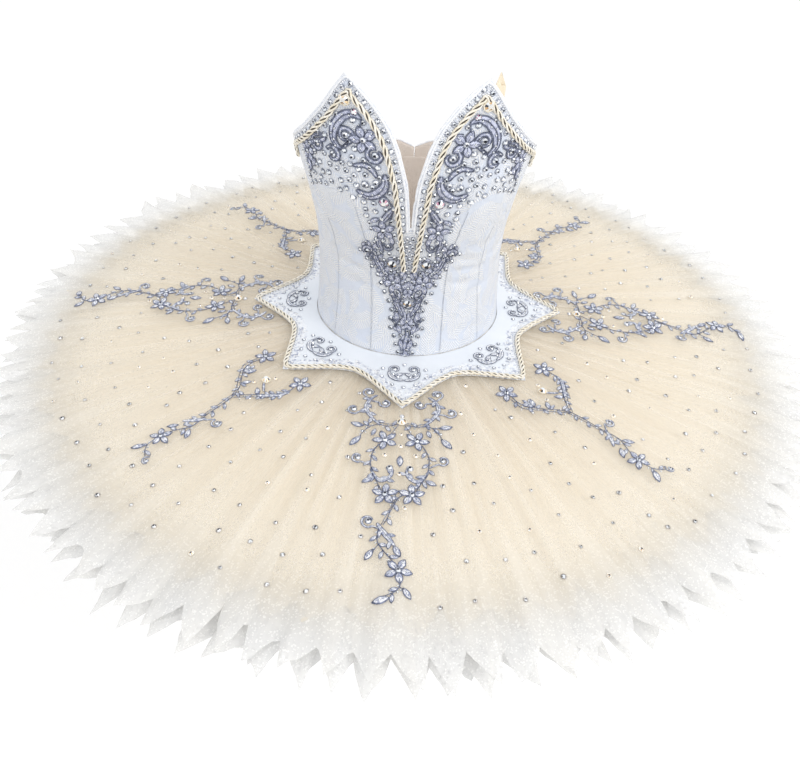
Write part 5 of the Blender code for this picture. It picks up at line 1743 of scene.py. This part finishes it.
bpy.ops.mesh.primitive_uv_sphere_add(segments=6, ring_count=5, radius=1.0)
BEAD = added(PIPING)
bead_line = border_line(BEAD_INSET, BEAD_AT_POINTS, BEAD_LIFT)
spots, normals, _, _ = along_path(bead_line, BEAD_STEP, closed=True)
beads = [sewn(BEAD, spot, normal, draw.uniform(*BEAD_SIZES)) for spot, normal in zip(spots, normals)]
store(join("beads", beads), "plate_beads", "plate_satin")

# %% [markdown]
# ## Stones on the skirt and hooks at the back
#
# Over two hundred single stones are scattered over the net, sewn by eye: rings that are nearly
# evenly spaced, with every stone a little off its place. None of them falls on a spray or the plate.

# %% Scattered stones
FIRST_RING, LAST_RING, RING_STEP = 0.186, 0.466, 0.0340
STONE_STEP = 0.0420
OFF_PLACE = 0.22            # how far a stone may be off its place, as a share of the step
OFF_RING = 0.008            # and off its ring, in metres
SPRAY_ANGLE = 45.0          # from one spray to the next
STONE_SIZES = (0.0022, 0.0025, 0.0028, 0.0031)
# The half width of a large and of a small spray, at distances from the axis.
LARGE_WIDTHS = ((0.19, 0.060), (0.23, 0.078), (0.29, 0.066), (0.34, 0.044), (0.46, 0.034), (0.50, 0.0))
SMALL_WIDTHS = ((0.19, 0.050), (0.25, 0.046), (0.29, 0.022), (0.40, 0.030), (0.42, 0.0))
SPRAY_SHARE = 0.82          # the share of that which keeps single stones off


def near_spray(angle, radius):
    """Whether a place on the net is on a spray."""
    away = (angle + SPRAY_ANGLE / 2) % SPRAY_ANGLE - SPRAY_ANGLE / 2
    widths = LARGE_WIDTHS if round(angle / SPRAY_ANGLE) % 2 == 0 else SMALL_WIDTHS
    return radius * math.sin(math.radians(abs(away))) < between(radius, widths) * SPRAY_SHARE


scatter = []
radius, ring = FIRST_RING, 0
while radius < LAST_RING:
    count = round(math.tau * radius / STONE_STEP)
    for i in range(count):
        angle = 360.0 * (i + 0.5 * (ring % 2)) / count + draw.uniform(-1, 1) * 360 / count * OFF_PLACE
        far = radius + draw.uniform(-OFF_RING, OFF_RING)
        if near_spray(angle, far) or far < plate_radius(angle) + OFF_RING:
            continue
        spot, normal = on_net(*polar(angle, far).xy)
        size, kind = draw.choice(STONE_SIZES), draw.choice(("clear", "clear", "clear", "gold", "pale"))
        scatter.append(sewn(STONES[kind], spot + normal * SEWN, normal, size, draw.uniform(0, 3)))
    radius += RING_STEP * draw.uniform(0.92, 1.08)
    ring += 1
print(len(scatter), "stones on the skirt")
store(rethread(join("scatter", scatter), ON_SKIRT), "skirt_stones", "silver_blue_cord", smooth=35)

# %% [markdown]
# Eight wire hooks close the back. One is drawn as a bent wire with a loop for the thread at each
# side, and copied up the back on the places that the frame gives.

# %% Hooks, with the wire's line in millimetres
HOOK_RADIUS = 0.0005
HOOK_WIRE = (
    (5.2, 0, 2.2), (5.8, 0, 0.6), (4.6, 0, 0.2), (4, 0, 1.4), (1.5, 0, 1.6), (-3, 0, 1.4), (-5.4, 0.9, 0.4),
    (-3, 1.6, -1.2), (1.5, 0, -1.6), (4, 0, -1.4), (4.6, 0, -0.2), (5.8, 0, -0.6), (5.2, 0, -2.2),
)
HOOK = cords("hook", [flowing(np.array(HOOK_WIRE) / 1000, 4)], HOOK_RADIUS, STEEL)
for i in range(8):
    name = f"back_hook_{i + 1}"
    low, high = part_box(name)
    store(copied(HOOK, Matrix.Translation((low + high) / 2)), name + "_wire", "hook_steel", (), [name])

# %% Clearing the masters away
for made in [*MASTERS, *SPRAY_DESIGNS, CUP, FRONT, MOON, SEED, BEAD, HOOK]:
    bpy.data.objects.remove(made)

# %% [markdown]
# ## Studio
#
# White cloth on a white ground keeps its form only through its own tone. The world is an even white
# that makes the paper floor white as well, and every cloth is a little greyer than the paper. One
# soft lamp from the right adds the direction: the wearer's left side of the bodice is the lit one.
# The floor is far below, so that the skirt throws no dark pool on it.

# %% Floor and lights
FLOOR = -1.30
KEY_PLACE = Vector((1.6, -1.3, 1.6))

bpy.ops.mesh.primitive_plane_add(size=24.0, location=(0, 0, FLOOR))
paper = Finish("paper", Base_Color=(0.98, 0.98, 0.98), Roughness=1.0, Specular_IOR_Level=0.0)
floor = added(paper.material)
floor.name = "floor"
floor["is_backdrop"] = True

bpy.ops.object.light_add(type="AREA", location=KEY_PLACE)
key = bpy.context.object
key.name = "key"
key.data.size, key.data.energy, key.data.color = 1.1, 20, (1.0, 0.99, 0.97)
key.rotation_euler = (-KEY_PLACE).to_track_quat("-Z", "Y").to_euler()

world = bpy.data.worlds.new("studio")
world.use_nodes = True
world.node_tree.nodes["Background"].inputs["Color"].default_value = (1.0, 1.0, 1.0, 1.0)
world.node_tree.nodes["Background"].inputs["Strength"].default_value = 1.03
bpy.context.scene.world = world
bpy.context.scene.view_settings.view_transform = "Standard"
bpy.context.scene.cycles.transparent_max_bounces = 32

# %% [markdown]
# ## Sizes, and the end
#
# Cloth may stand a little proud of its solid. Both boxes are printed: the frame's and the dressed
# tutu's.

# %% Both boxes
boxes = {"cad": [list(corner) for corner in CAD_BOX], "visual": [list(corner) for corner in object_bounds()]}
print("boxes", {key: [[round(x, 4) for x in corner] for corner in box] for key, box in boxes.items()})
